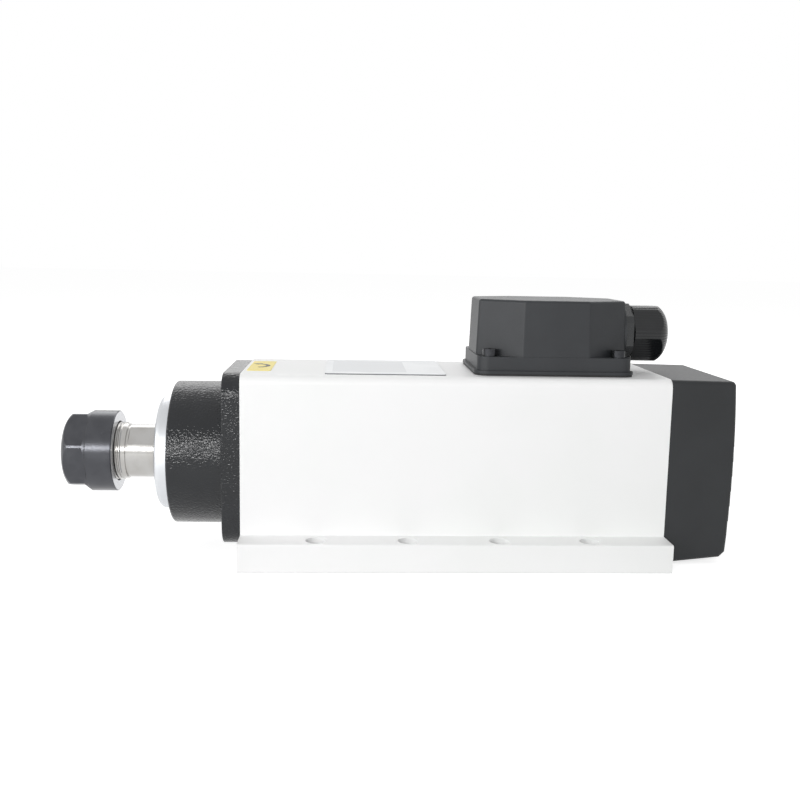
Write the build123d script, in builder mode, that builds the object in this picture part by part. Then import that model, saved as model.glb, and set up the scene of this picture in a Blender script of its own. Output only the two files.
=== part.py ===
"""Air-cooled square motor spindle with an ER20 collet nose.

Millimetres. X runs along the spindle from the tool end (-X) to the fan end (+X), Z is up and
the origin is on the mounting face, at the centre of the foot hole pattern.
Stations along X are measured from the front end of the housing extrusion and turned into
model coordinates by the function at_x().
"""
from build123d import *
from math import atan2, cos, degrees, pi, radians, sin, tan
import os

# ---- driving dimensions: housing extrusion -----------------------------------------------
BODY_LENGTH = 177.0
BODY_WIDTH = 64.0
BODY_HEIGHT = 78.3
BODY_CORNER_R = 3.9
BASE_WIDTH = 90.0
BASE_THICKNESS = 11.9
BASE_EDGE_R = 0.8
AXIS_DROP = 37.9
FOOT_HOLE_D = 8.5
FOOT_HOLE_PITCH = 37.5
FOOT_HOLES_PER_SIDE = 4
FOOT_HOLE_ACROSS = 78.0
FOOT_FRONT_MARGIN = 31.25
STATOR_BORE_R = 27.5
BORE_WALL = 3.5
OUTER_WALL = 3.5
PORT_BOSS_R = 4.8
PORT_SIDE_MARGIN = 6.0
PORT_TOP_MARGIN = 6.4
PORT_LIFT = 12.6
CHANNEL_INNER_Y = 12.0
CHANNEL_INNER_Z = 20.0
CHANNEL_LIFT = 8.9

# ---- driving dimensions: nose ------------------------------------------------------------
PLATE_THICKNESS = 7.6
PLATE_CORNER_R = 10.0
PLATE_EDGE_R = 0.6
PLATE_BOTTOM_GAP = 6.3
BOSS_FRONT_R = 30.8
BOSS_REAR_R = 30.9
BOSS_LENGTH = 22.8
BOSS_EDGE_R = 1.0
SPIGOT_LENGTH = 6.0
SLOT_WIDTH = 3.0
SLOT_HALF_ANGLE = 13.0
RETAINER_R = 26.0
RETAINER_LENGTH = 4.8
RETAINER_BORE_R = 21.5
DUST_RING_R = 24.7
DUST_RING_PROUD = 6.2
DUST_RING_EDGE_R = 2.6
DUST_RING_GAP = 0.4
NOSE_R = 11.5
THREAD_R = 12.5
THREAD_PITCH = 1.5
THREAD_MID_DEPTH = 0.325
THREAD_REAR = -50.8
SHAFT_FRONT = -70.5
UNDERCUT_LENGTH = 1.0
UNDERCUT_DEPTH = 0.3
DRAW_BORE_LENGTH = 14.0
DRILL_POINT = 3.0
TAPER_RUNOUT = 4.0
SPANNER_AF = 21.0
SPANNER_ANGLE = 48.0
TAPER_ANGLE = 8.0
COLLET_TAPER_R = 10.25
COLLET_TAPER_LENGTH = 24.5
COLLET_BORE_R = 4.0
COLLET_SLITS = 8
COLLET_SLIT_W = 0.9
COLLET_NOSE = 5.9
NUT_R = 17.5
NUT_AF = 30.0
NUT_REAR = -55.2
NUT_FLAT_END = -66.4
NUT_FLAT_ARC_R = 28.0
NUT_BLANK_R = 17.05
NUT_REAR_CHAMFER = 0.3
NUT_MILL_HALF = 12.0
NUT_FRONT = -77.3
NUT_MOUTH_R = 7.8
NUT_DOME_LENGTH = 3.7
NUT_DOME_DROP = 5.1
COLLET_LIP = 2.4
NUT_CORNER_ANGLE = 16.0

# ---- driving dimensions: bearings --------------------------------------------------------
FRONT_BORE_R = 12.5
FRONT_OUTER_R = 23.5
FRONT_WIDTH = 12.0
FRONT_BALL_R = 3.2
FRONT_BALLS = 9
FRONT_SPACING = 0.1
BEARING_SHOULDER = 3.0
BEARING_LIP = 2.5
REAR_BORE_R = 7.5
REAR_OUTER_R = 17.5
REAR_WIDTH = 11.0
REAR_BALL_R = 2.9
REAR_BALLS = 7
RACE_CLEARANCE = 0.12
REAR_BEARING_SETBACK = 14.5

# ---- driving dimensions: motor -----------------------------------------------------------
STACK_START = 45.0
STACK_LENGTH = 80.0
ROTOR_R = 17.0
AIR_GAP = 0.4
ROTOR_BORE_R = 13.0
END_RING_LENGTH = 4.5
STATOR_SLOTS = 18
SLOT_DEPTH = 5.6
SLOT_OPENING = 2.6
WINDING_OVERHANG = 15.0
REAR_JOURNAL_R = 10.0

# ---- driving dimensions: rear end, fan and cover -----------------------------------------
END_PLATE_THICKNESS = 4.0
END_PLATE_SPIGOT = 17.0
END_PLATE_R = 28.8
END_PLATE_ARM_W = 30.0
END_SCREW_ACROSS = 7.0
END_SCREW_MARGIN = 6.1
SPRING_LENGTH = 1.5
FAN_SEAT_R = 6.0
FAN_GAP = 6.0
FAN_LENGTH = 13.0
FAN_R = 24.0
FAN_HUB_R = 9.0
FAN_BLADES = 9
FAN_BLADE_T = 1.4
CIRCLIP_T = 0.9
COVER_LENGTH = 28.3
COVER_WALL = 2.4
COVER_CROWN = 1.3
COVER_TOP_DROP = 0.4
COVER_FRONT_LIFT = 0.2
COVER_REAR_LIFT = 2.8
COVER_EDGE_R = 2.0
COVER_TOE = 2.4
COVER_POST_R = 4.2
GRILLE_RINGS = 4
GRILLE_FIRST_R = 6.5
GRILLE_STEP = 4.6
GRILLE_SLOT = 2.6
GRILLE_RIBS = 6
GRILLE_RIB_W = 2.4

# ---- driving dimensions: terminal box and gland ------------------------------------------
BOX_SETBACK = 47.3
BOX_LENGTH = 65.0
BOX_WIDTH = 48.4
BOX_CORNER_R = 4.5
LIP_PROUD = 1.2
GASKET_T = 0.8
LIP_T = 1.2
SKIRT_HEIGHT = 5.8
LID_HEIGHT = 23.4
LID_DRAFT = 2.0
LID_END_HALF = 13.0
LID_SIDE_LENGTH = 28.0
LID_EDGE_R = 1.3
LID_CORNER_R = 1.6
LID_SETBACK = 0.4
LID_SIDE_SETBACK = 0.25
LID_WALL = 2.2
BOX_SCREW_X = 27.2
BOX_SCREW_Y = 19.8
BOX_SCREW_HEAD_R = 3.0
BOX_SCREW_HEAD_T = 3.0
WIRE_HOLE_R = 8.0
BLOCK_LENGTH = 30.0
BLOCK_WIDTH = 12.0
BLOCK_HEIGHT = 11.0
BLOCK_CHAMFER = 2.0
BLOCK_SETBACK = 11.2
BLOCK_WAYS = 4
TERMINAL_SCREW_R = 1.9
TERMINAL_SCREW_LENGTH = 5.0
TERMINAL_DEPTH = 7.0
GLAND_DROP = 14.3
GLAND_THREAD_R = 10.0
GLAND_AF = 23.6
GLAND_CORNER_R = 12.8
GLAND_HEX_LENGTH = 3.2
GLAND_PAD_PROUD = 0.2
GLAND_LOCKNUT_T = 3.6
GLAND_NUT_LENGTH = 16.0
GLAND_CABLE_R = 4.5
GLAND_TAIL = 6.0
GLAND_NUT_GAP = 0.4
GLAND_BODY_SHARE = 0.62
GLAND_WALL = 1.6
SEAL_BACK = 2.0
SEAL_FRONT = 11.5

# ---- driving dimensions: screws, plates and general clearances ---------------------------
M4_HOLE_R = 1.65
M4_SHANK_R = 1.6
M4_CLEAR_R = 2.2
M4_HEAD_R = 3.5
M4_HEAD_T = 4.0
M4_SOCKET_AF = 3.0
SCREW_REACH = 12.0
M3_SHANK_R = 1.2
M3_HOLE_R = 1.25
HEAD_CLEARANCE = 0.3
SCREW_SLOT_W = 0.8
SCREW_SLOT_DEPTH = 1.3
CROSS_LENGTH = 4.0
COVER_HEAD_T = 2.4
FIT = 0.05
SEAT_STEP = 1.0
SLIP = 0.3
THROUGH = 1.0
PLATE_LABEL = (50.0, 53.0, 0.4)
PLATE_LABEL_CENTRE = 59.0
STICKER = (10.0, 35.0, 0.15)
STICKER_CENTRE = 6.4

# small turned, moulded and fitted details that several parts share
EDGE_BREAK = 0.6
TAP_SPARE = 2.0
SPANNER_HOLE_R = 1.2
SPANNER_HOLE_SHARE = 0.6
RACE_SHARE = 0.62
CAGE_SHARE = 0.36
CAGE_WIDTH_SHARE = 0.72
NOSE_LEAD = 0.5
SHOULDER_RUN = 4.0
ROTOR_SEAT_SPARE = 2.0
REAR_STEP_RUN = 3.0
FAN_SEAT_LEAD = 1.5
CIRCLIP_GROOVE = 0.8
CIRCLIP_PROUD = 1.7
TAIL_RUN = 3.2
DUST_TAIL_R = RETAINER_BORE_R - 1.0
SPACER_R = FRONT_BORE_R + 3.5
SPACER_RUN = 1.0
COLLET_GROOVE_DEPTH = 1.6
COLLET_LIP_DROP = 1.0
COLLET_GRIP = 11.0
COLLET_SLIT_SHARE = 0.82
NUT_DOME_MID = 0.4
NUT_DOME_MID_DROP = 1.9
NUT_RUN_OUT = 0.8
END_RING_STEP = 0.8
TOOTH_TIP = 1.2
WINDING_CLEARANCE = 0.15
WINDING_GAP = 0.4
WINDING_INSET = 3.0
WINDING_EDGE_R = 2.5
END_PLATE_ARM_R = 3.5
HUB_WALL = 4.0
HUB_SPIGOT = 3.0
HUB_LIP = 2.0
END_SCREW_SLOT = 1.4
FAN_DISC_RIM = 1.6
FAN_FLARE = 4.0
FAN_FLARE_END = 6.0
FAN_HUB_DRAFT = 0.8
GASKET_END = 6.0
GLAND_HOLE_SPARE = 0.2
SCREW_SLOT_SPAN = 2.6
SEAL_TAPER = 2.5
GLAND_HEX_SHARE = 0.55
GLAND_DOME_MID = 2.6
GLAND_DOME_MID_DROP = 1.6
GLAND_DOME_DROP = 6.2

# ---- places worked out from the above ----------------------------------------------------
AXIS_HEIGHT = BODY_HEIGHT - AXIS_DROP
BODY_FRONT = -(FOOT_FRONT_MARGIN + FOOT_HOLE_PITCH * (FOOT_HOLES_PER_SIDE - 1) / 2)
HALF_WIDTH = BODY_WIDTH / 2
PORT_ACROSS = HALF_WIDTH - PORT_SIDE_MARGIN
PORT_UP = AXIS_DROP - PORT_TOP_MARGIN
PORT_DOWN = AXIS_HEIGHT - PORT_LIFT
CHANNEL_FLOOR = AXIS_HEIGHT - CHANNEL_LIFT
FLANGE_FRONT = -(PLATE_THICKNESS + BOSS_LENGTH)
FRONT_BEARING_START = FLANGE_FRONT + RETAINER_LENGTH
FRONT_STARTS = (FRONT_BEARING_START, FRONT_BEARING_START + FRONT_WIDTH + FRONT_SPACING)
FRONT_BEARING_END = FRONT_STARTS[1] + FRONT_WIDTH
STACK_END = STACK_START + STACK_LENGTH
REAR_BEARING_FRONT = BODY_LENGTH - REAR_BEARING_SETBACK
REAR_BEARING_END = REAR_BEARING_FRONT + REAR_WIDTH
FAN_START = BODY_LENGTH + FAN_GAP
FAN_END = FAN_START + FAN_LENGTH
PORTS = [(side * PORT_ACROSS, up) for side in (-1, 1) for up in (PORT_UP, -PORT_DOWN)]
END_SCREW_UP = AXIS_DROP - END_SCREW_MARGIN
END_SCREWS = [(i * END_SCREW_ACROSS, j * END_SCREW_UP) for i in (-1, 1) for j in (-1, 1)]
BOX_CENTRE = BODY_LENGTH - BOX_SETBACK
BOX_SCREWS = [(i * BOX_SCREW_X, j * BOX_SCREW_Y) for i in (-1, 1) for j in (-1, 1)]
BASE_Z = BODY_HEIGHT + GASKET_T
LID_Z = BASE_Z + LIP_T
SHELF_Z = LID_Z + SKIRT_HEIGHT
LID_TOP = SHELF_Z + LID_HEIGHT
GLAND_AXIS = LID_TOP - GLAND_DROP
SPINDLE_AXIS = Axis((0, 0, AXIS_HEIGHT), (1, 0, 0))
SPINDLE_PLANE = Plane(origin=(0, 0, AXIS_HEIGHT), x_dir=(1, 0, 0), z_dir=(0, -1, 0))
GLAND_LINE = Axis((0, 0, GLAND_AXIS), (1, 0, 0))
GLAND_PLANE = Plane(origin=(0, 0, GLAND_AXIS), x_dir=(1, 0, 0), z_dir=(0, -1, 0))

os.makedirs("parts", exist_ok=True)


def at_x(station):
    """Model X of a station measured from the front end of the extrusion."""
    return BODY_FRONT + station


def section(station, height=AXIS_HEIGHT):
    """Plane across the spindle: sketch x is +Y, sketch y is up from the given height."""
    return Plane(origin=(at_x(station), 0, height), x_dir=(0, 1, 0), z_dir=(1, 0, 0))


def level(height):
    """Plane at a height, centred on the terminal box."""
    return Plane(origin=(at_x(BOX_CENTRE), 0, height), x_dir=(1, 0, 0), z_dir=(0, 0, 1))


def turned(points):
    """Profile of a turned piece from (station, radius) pairs, closed by itself."""
    Polygon(*[(at_x(x), r) for x, r in points], align=None)


def save(part, name):
    """Label a finished piece and write its file."""
    part.label = name
    export_step(part, f"parts/{name}.step")


# ---- housing extrusion -------------------------------------------------------------------
with BuildPart() as body_extrusion:
    with BuildSketch(section(0)) as body_profile:
        with Locations((0, BODY_HEIGHT / 2 - AXIS_HEIGHT)):
            Rectangle(BODY_WIDTH, BODY_HEIGHT)
        with Locations((0, BASE_THICKNESS / 2 - AXIS_HEIGHT)):
            Rectangle(BASE_WIDTH, BASE_THICKNESS)
        fillet(body_profile.vertices().group_by(Axis.Y)[-1], BODY_CORNER_R)
        fillet(body_profile.vertices().filter_by(
            lambda v: abs(v.X) > BASE_WIDTH / 2 - 0.1), BASE_EDGE_R)
        Circle(STATOR_BORE_R, mode=Mode.SUBTRACT)
    extrude(amount=BODY_LENGTH)
    with BuildSketch(section(0)):
        channel_w = HALF_WIDTH - OUTER_WALL - CHANNEL_INNER_Y
        up_h = AXIS_DROP - OUTER_WALL - CHANNEL_INNER_Z
        down_h = CHANNEL_FLOOR - CHANNEL_INNER_Z
        for side in (-1, 1):
            with Locations((side * (CHANNEL_INNER_Y + channel_w / 2), CHANNEL_INNER_Z + up_h / 2)):
                Rectangle(channel_w, up_h)
            with Locations((side * (CHANNEL_INNER_Y + channel_w / 2), -CHANNEL_INNER_Z - down_h / 2)):
                Rectangle(channel_w, down_h)
        Circle(STATOR_BORE_R + BORE_WALL, mode=Mode.SUBTRACT)
        with Locations(*PORTS):
            Circle(PORT_BOSS_R, mode=Mode.SUBTRACT)
    extrude(amount=BODY_LENGTH, mode=Mode.SUBTRACT)
    with BuildSketch(section(0)):
        with Locations(*PORTS):
            Circle(M4_HOLE_R)
    extrude(amount=BODY_LENGTH, mode=Mode.SUBTRACT)
    with BuildSketch(section(BODY_LENGTH - SCREW_REACH - TAP_SPARE)):
        with Locations(*END_SCREWS):
            Circle(M4_HOLE_R)
    extrude(amount=SCREW_REACH + TAP_SPARE, mode=Mode.SUBTRACT)
    with BuildSketch(Plane.XY):
        with GridLocations(FOOT_HOLE_PITCH, FOOT_HOLE_ACROSS, FOOT_HOLES_PER_SIDE, 2):
            Circle(FOOT_HOLE_D / 2)
    extrude(amount=BASE_THICKNESS, mode=Mode.SUBTRACT)
    with BuildSketch(level(AXIS_HEIGHT)):
        Circle(WIRE_HOLE_R)
    extrude(amount=AXIS_DROP, mode=Mode.SUBTRACT)
    with BuildSketch(level(BODY_HEIGHT - OUTER_WALL - THROUGH)):
        with Locations(*BOX_SCREWS):
            Circle(M3_HOLE_R)
    extrude(amount=OUTER_WALL + THROUGH, mode=Mode.SUBTRACT)
save(body_extrusion.part, "body_extrusion")

# ---- front flange: plate, boss and spigot ------------------------------------------------
with BuildPart() as front_flange:
    with BuildSketch(section(-PLATE_THICKNESS)):
        plate_height = BODY_HEIGHT - PLATE_BOTTOM_GAP
        with Locations((0, PLATE_BOTTOM_GAP + plate_height / 2 - AXIS_HEIGHT)):
            RectangleRounded(BODY_WIDTH, plate_height, PLATE_CORNER_R)
    extrude(amount=PLATE_THICKNESS)
    fillet(front_flange.faces().sort_by(Axis.X)[0].edges(), PLATE_EDGE_R)
    with BuildSketch(SPINDLE_PLANE):
        turned([(FLANGE_FRONT, 0), (FLANGE_FRONT, BOSS_FRONT_R), (-PLATE_THICKNESS, BOSS_REAR_R),
                (-PLATE_THICKNESS, STATOR_BORE_R - FIT), (SPIGOT_LENGTH, STATOR_BORE_R - FIT),
                (SPIGOT_LENGTH, 0)])
    revolve(axis=SPINDLE_AXIS)
    fillet(front_flange.faces().sort_by(Axis.X)[0].edges(), BOSS_EDGE_R)
    with BuildSketch(SPINDLE_PLANE):
        lip = FRONT_OUTER_R - BEARING_LIP
        turned([(FLANGE_FRONT, 0), (FLANGE_FRONT, RETAINER_R), (FRONT_BEARING_START, RETAINER_R),
                (FRONT_BEARING_START, FRONT_OUTER_R), (FRONT_BEARING_END, FRONT_OUTER_R),
                (FRONT_BEARING_END, lip), (SPIGOT_LENGTH, lip), (SPIGOT_LENGTH, 0)])
    revolve(axis=SPINDLE_AXIS, mode=Mode.SUBTRACT)
    with BuildSketch(section(-PLATE_THICKNESS)):
        with Locations(*PORTS):
            Circle(M4_CLEAR_R)
    extrude(amount=PLATE_THICKNESS, mode=Mode.SUBTRACT)
    with BuildSketch(section(-PLATE_THICKNESS)):
        with Locations(*PORTS):
            Circle(M4_HEAD_R + HEAD_CLEARANCE)
    extrude(amount=M4_HEAD_T, mode=Mode.SUBTRACT)
    with BuildSketch(section(-PLATE_THICKNESS)):
        slot_r = BOSS_REAR_R + 0.6 + SLOT_WIDTH / 2
        for across, up in PORTS:
            middle = degrees(atan2(up, across))
            SlotArc(Edge.make_circle(slot_r, start_angle=middle - SLOT_HALF_ANGLE,
                                     end_angle=middle + SLOT_HALF_ANGLE), SLOT_WIDTH)
    extrude(amount=PLATE_THICKNESS, mode=Mode.SUBTRACT)
save(front_flange.part, "front_flange")

with BuildPart() as front_flange_screws:
    with BuildSketch(section(-PLATE_THICKNESS)):
        with Locations(*PORTS):
            Circle(M4_HEAD_R)
    extrude(amount=M4_HEAD_T)
    with BuildSketch(section(M4_HEAD_T - PLATE_THICKNESS)):
        with Locations(*PORTS):
            Circle(M4_SHANK_R)
    extrude(amount=PLATE_THICKNESS - M4_HEAD_T + SCREW_REACH)
    with BuildSketch(section(-PLATE_THICKNESS)):
        with Locations(*PORTS):
            RegularPolygon(M4_SOCKET_AF / 2, 6, major_radius=False)
    extrude(amount=M4_HEAD_T / 2, mode=Mode.SUBTRACT)
save(front_flange_screws.part, "front_flange_screws")

# ---- threaded ring that holds the front bearings -----------------------------------------
with BuildPart() as bearing_retainer:
    with BuildSketch(SPINDLE_PLANE):
        turned([(FLANGE_FRONT + SLIP, RETAINER_BORE_R), (FLANGE_FRONT + SLIP, RETAINER_R - FIT),
                (FRONT_BEARING_START, RETAINER_R - FIT), (FRONT_BEARING_START, RETAINER_BORE_R)])
    revolve(axis=SPINDLE_AXIS)
    with BuildSketch(section(FLANGE_FRONT)):
        with PolarLocations((RETAINER_R + RETAINER_BORE_R) / 2, 4):
            Circle(SPANNER_HOLE_R)
    extrude(amount=RETAINER_LENGTH * SPANNER_HOLE_SHARE, mode=Mode.SUBTRACT)
save(bearing_retainer.part, "bearing_retainer")


# ---- ball bearings: rings, balls and cages -----------------------------------------------
def bearing_rings(start, width, bore_r, outer_r, ball_r, inner):
    """Turned section of one ring with its ball groove, in the current sketch."""
    pitch_r = (bore_r + outer_r) / 2
    shoulder = ball_r * RACE_SHARE
    groove_r = ball_r + RACE_CLEARANCE
    low, high = (bore_r, pitch_r - shoulder) if inner else (pitch_r + shoulder, outer_r)
    with Locations((at_x(start + width / 2), (low + high) / 2)):
        Rectangle(width, high - low)
    with Locations((at_x(start + width / 2), pitch_r)):
        Circle(groove_r, mode=Mode.SUBTRACT)


def bearing_cage(start, width, bore_r, outer_r, ball_r, count):
    """Ring between the races with a round pocket for each ball."""
    pitch_r = (bore_r + outer_r) / 2
    half = ball_r * CAGE_SHARE
    pocket_r = ball_r + RACE_CLEARANCE
    with BuildPart() as cage:
        with BuildSketch(SPINDLE_PLANE):
            with Locations((at_x(start + width / 2), pitch_r)):
                Rectangle(width * CAGE_WIDTH_SHARE, 2 * half)
        revolve(axis=SPINDLE_AXIS)
        with Locations(*[ball_place(start, width, pitch_r, 360 * k / count) for k in range(count)]):
            Sphere(pocket_r, mode=Mode.SUBTRACT)
    return cage.part


def ball_place(start, width, pitch_r, angle):
    """Centre of one ball on the pitch circle."""
    turn = radians(angle)
    return (at_x(start + width / 2), pitch_r * cos(turn), AXIS_HEIGHT + pitch_r * sin(turn))


def bearing_balls(starts, width, bore_r, outer_r, ball_r, count):
    """Balls of one or more bearings as separate solids."""
    pitch_r = (bore_r + outer_r) / 2
    with BuildPart() as balls:
        with Locations(*[ball_place(start, width, pitch_r, 360 * k / count)
                         for start in starts for k in range(count)]):
            Sphere(ball_r)
    return balls.part


for inner, name in ((False, "front_bearing_outer_rings"), (True, "front_bearing_inner_rings")):
    with BuildPart() as rings:
        with BuildSketch(SPINDLE_PLANE):
            for start in FRONT_STARTS:
                bearing_rings(start, FRONT_WIDTH, FRONT_BORE_R + (FIT if inner else 0),
                              FRONT_OUTER_R - (0 if inner else FIT), FRONT_BALL_R, inner)
        revolve(axis=SPINDLE_AXIS)
    save(rings.part, name)
save(bearing_balls(FRONT_STARTS, FRONT_WIDTH, FRONT_BORE_R, FRONT_OUTER_R, FRONT_BALL_R, FRONT_BALLS),
     "front_bearing_balls")
with BuildPart() as front_bearing_cages:
    for start in FRONT_STARTS:
        add(bearing_cage(start, FRONT_WIDTH, FRONT_BORE_R, FRONT_OUTER_R, FRONT_BALL_R, FRONT_BALLS))
save(front_bearing_cages.part, "front_bearing_cages")

for inner, name in ((False, "rear_bearing_outer_ring"), (True, "rear_bearing_inner_ring")):
    with BuildPart() as ring:
        with BuildSketch(SPINDLE_PLANE):
            bearing_rings(REAR_BEARING_FRONT, REAR_WIDTH, REAR_BORE_R + (FIT if inner else 0),
                          REAR_OUTER_R - (0 if inner else FIT), REAR_BALL_R, inner)
        revolve(axis=SPINDLE_AXIS)
    save(ring.part, name)
save(bearing_balls((REAR_BEARING_FRONT,), REAR_WIDTH, REAR_BORE_R, REAR_OUTER_R, REAR_BALL_R,
                   REAR_BALLS), "rear_bearing_balls")
save(bearing_cage(REAR_BEARING_FRONT, REAR_WIDTH, REAR_BORE_R, REAR_OUTER_R, REAR_BALL_R,
                  REAR_BALLS), "rear_bearing_cage")

# ---- spindle shaft -----------------------------------------------------------------------
taper_slope = tan(radians(TAPER_ANGLE))
mouth_r = COLLET_TAPER_R + FIT
taper_end = SHAFT_FRONT + COLLET_TAPER_LENGTH + TAPER_RUNOUT
throat_r = mouth_r - (taper_end - SHAFT_FRONT) * taper_slope
shoulder_r = FRONT_BORE_R + BEARING_SHOULDER
dust_face = FLANGE_FRONT - DUST_RING_PROUD
dust_neck = FLANGE_FRONT - DUST_RING_GAP
rotor_seat_end = STACK_END + END_RING_LENGTH + ROTOR_SEAT_SPARE
circlip_groove_r = FAN_SEAT_R - CIRCLIP_GROOVE
tail_end = FAN_END + TAIL_RUN
with BuildPart() as spindle_shaft:
    with BuildSketch(SPINDLE_PLANE):
        chamfer_w = THREAD_PITCH / 2
        thread_mid_r = THREAD_R - THREAD_MID_DEPTH * THREAD_PITCH
        undercut_r = NOSE_R - UNDERCUT_DEPTH
        turned([(SHAFT_FRONT, 0), (SHAFT_FRONT, thread_mid_r - chamfer_w),
                (SHAFT_FRONT + chamfer_w, thread_mid_r), (THREAD_REAR, thread_mid_r),
                (THREAD_REAR, undercut_r), (THREAD_REAR + UNDERCUT_LENGTH, undercut_r),
                (THREAD_REAR + UNDERCUT_LENGTH, NOSE_R),
                (dust_face + NOSE_LEAD, NOSE_R), (dust_face + NOSE_LEAD + SEAT_STEP, FRONT_BORE_R),
                (FRONT_BEARING_END, FRONT_BORE_R), (FRONT_BEARING_END, shoulder_r),
                (SPIGOT_LENGTH, shoulder_r), (SPIGOT_LENGTH + SHOULDER_RUN, ROTOR_BORE_R),
                (rotor_seat_end, ROTOR_BORE_R),
                (rotor_seat_end + REAR_STEP_RUN, REAR_JOURNAL_R),
                (REAR_BEARING_FRONT, REAR_JOURNAL_R), (REAR_BEARING_FRONT, REAR_BORE_R),
                (REAR_BEARING_END + SPRING_LENGTH, REAR_BORE_R),
                (REAR_BEARING_END + SPRING_LENGTH + FAN_SEAT_LEAD, FAN_SEAT_R),
                (FAN_END + FIT, FAN_SEAT_R), (FAN_END + FIT, circlip_groove_r),
                (FAN_END + FIT + CIRCLIP_T + FIT, circlip_groove_r),
                (FAN_END + FIT + CIRCLIP_T + FIT, FAN_SEAT_R),
                (tail_end - EDGE_BREAK, FAN_SEAT_R),
                (tail_end, FAN_SEAT_R - EDGE_BREAK), (tail_end, 0)])
    revolve(axis=SPINDLE_AXIS)
    with BuildSketch(SPINDLE_PLANE):
        turned([(SHAFT_FRONT, 0), (SHAFT_FRONT, mouth_r), (taper_end, throat_r),
                (taper_end + DRAW_BORE_LENGTH, throat_r),
                (taper_end + DRAW_BORE_LENGTH + DRILL_POINT, 0)])
    revolve(axis=SPINDLE_AXIS, mode=Mode.SUBTRACT)
    flat_start = THREAD_REAR + UNDERCUT_LENGTH
    flat_end = dust_face - 2 * SLIP
    with BuildSketch(section(flat_start)):
        with PolarLocations(SPANNER_AF / 2 + NOSE_R / 2, 2, start_angle=180 - SPANNER_ANGLE):
            Rectangle(NOSE_R, 2 * NOSE_R)
    extrude(amount=flat_end - flat_start, mode=Mode.SUBTRACT)
save(spindle_shaft.part, "spindle_shaft")

# ---- aluminium dust ring that turns with the shaft ---------------------------------------
spacer_start = FRONT_BEARING_START - SPACER_RUN
with BuildPart() as dust_ring:
    with BuildSketch(SPINDLE_PLANE):
        turned([(dust_face, FRONT_BORE_R + FIT), (dust_face, DUST_RING_R), (dust_neck, DUST_RING_R),
                (dust_neck, DUST_TAIL_R), (spacer_start, DUST_TAIL_R),
                (spacer_start, SPACER_R), (FRONT_BEARING_START, SPACER_R),
                (FRONT_BEARING_START, FRONT_BORE_R + FIT)])
    revolve(axis=SPINDLE_AXIS)
    fillet(dust_ring.edges().filter_by(GeomType.CIRCLE).group_by(Axis.X)[0].sort_by(
        SortBy.RADIUS)[-1], DUST_RING_EDGE_R)
save(dust_ring.part, "dust_ring")

# ---- ER collet: slit cone with an extraction groove --------------------------------------
collet_front = SHAFT_FRONT - COLLET_NOSE
collet_back = SHAFT_FRONT + COLLET_TAPER_LENGTH
back_r = COLLET_TAPER_R - COLLET_TAPER_LENGTH * taper_slope
groove_r = COLLET_TAPER_R - COLLET_GROOVE_DEPTH
nose_r = groove_r - COLLET_LIP_DROP
groove_end = collet_front + COLLET_LIP + COLLET_GROOVE_DEPTH
with BuildPart() as collet:
    with BuildSketch(SPINDLE_PLANE):
        turned([(collet_front, COLLET_BORE_R), (collet_front, nose_r),
                (collet_front + COLLET_LIP, COLLET_TAPER_R - COLLET_LIP_DROP), (collet_front + COLLET_LIP, groove_r),
                (groove_end, groove_r), (groove_end + EDGE_BREAK, COLLET_TAPER_R),
                (SHAFT_FRONT, COLLET_TAPER_R), (collet_back, back_r), (collet_back, COLLET_BORE_R + EDGE_BREAK),
                (SHAFT_FRONT + COLLET_GRIP + THROUGH, COLLET_BORE_R + EDGE_BREAK), (SHAFT_FRONT + COLLET_GRIP, COLLET_BORE_R)])
    revolve(axis=SPINDLE_AXIS)
    slit_length = (COLLET_NOSE + COLLET_TAPER_LENGTH) * COLLET_SLIT_SHARE
    for number in range(COLLET_SLITS):
        start = collet_front if number % 2 == 0 else collet_back - slit_length
        with BuildSketch(section(start)):
            with PolarLocations(COLLET_TAPER_R / 2 + COLLET_BORE_R / 2, 1,
                                start_angle=360 / COLLET_SLITS * number):
                Rectangle(COLLET_TAPER_R, COLLET_SLIT_W)
        extrude(amount=slit_length, mode=Mode.SUBTRACT)
save(collet.part, "collet")

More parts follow.
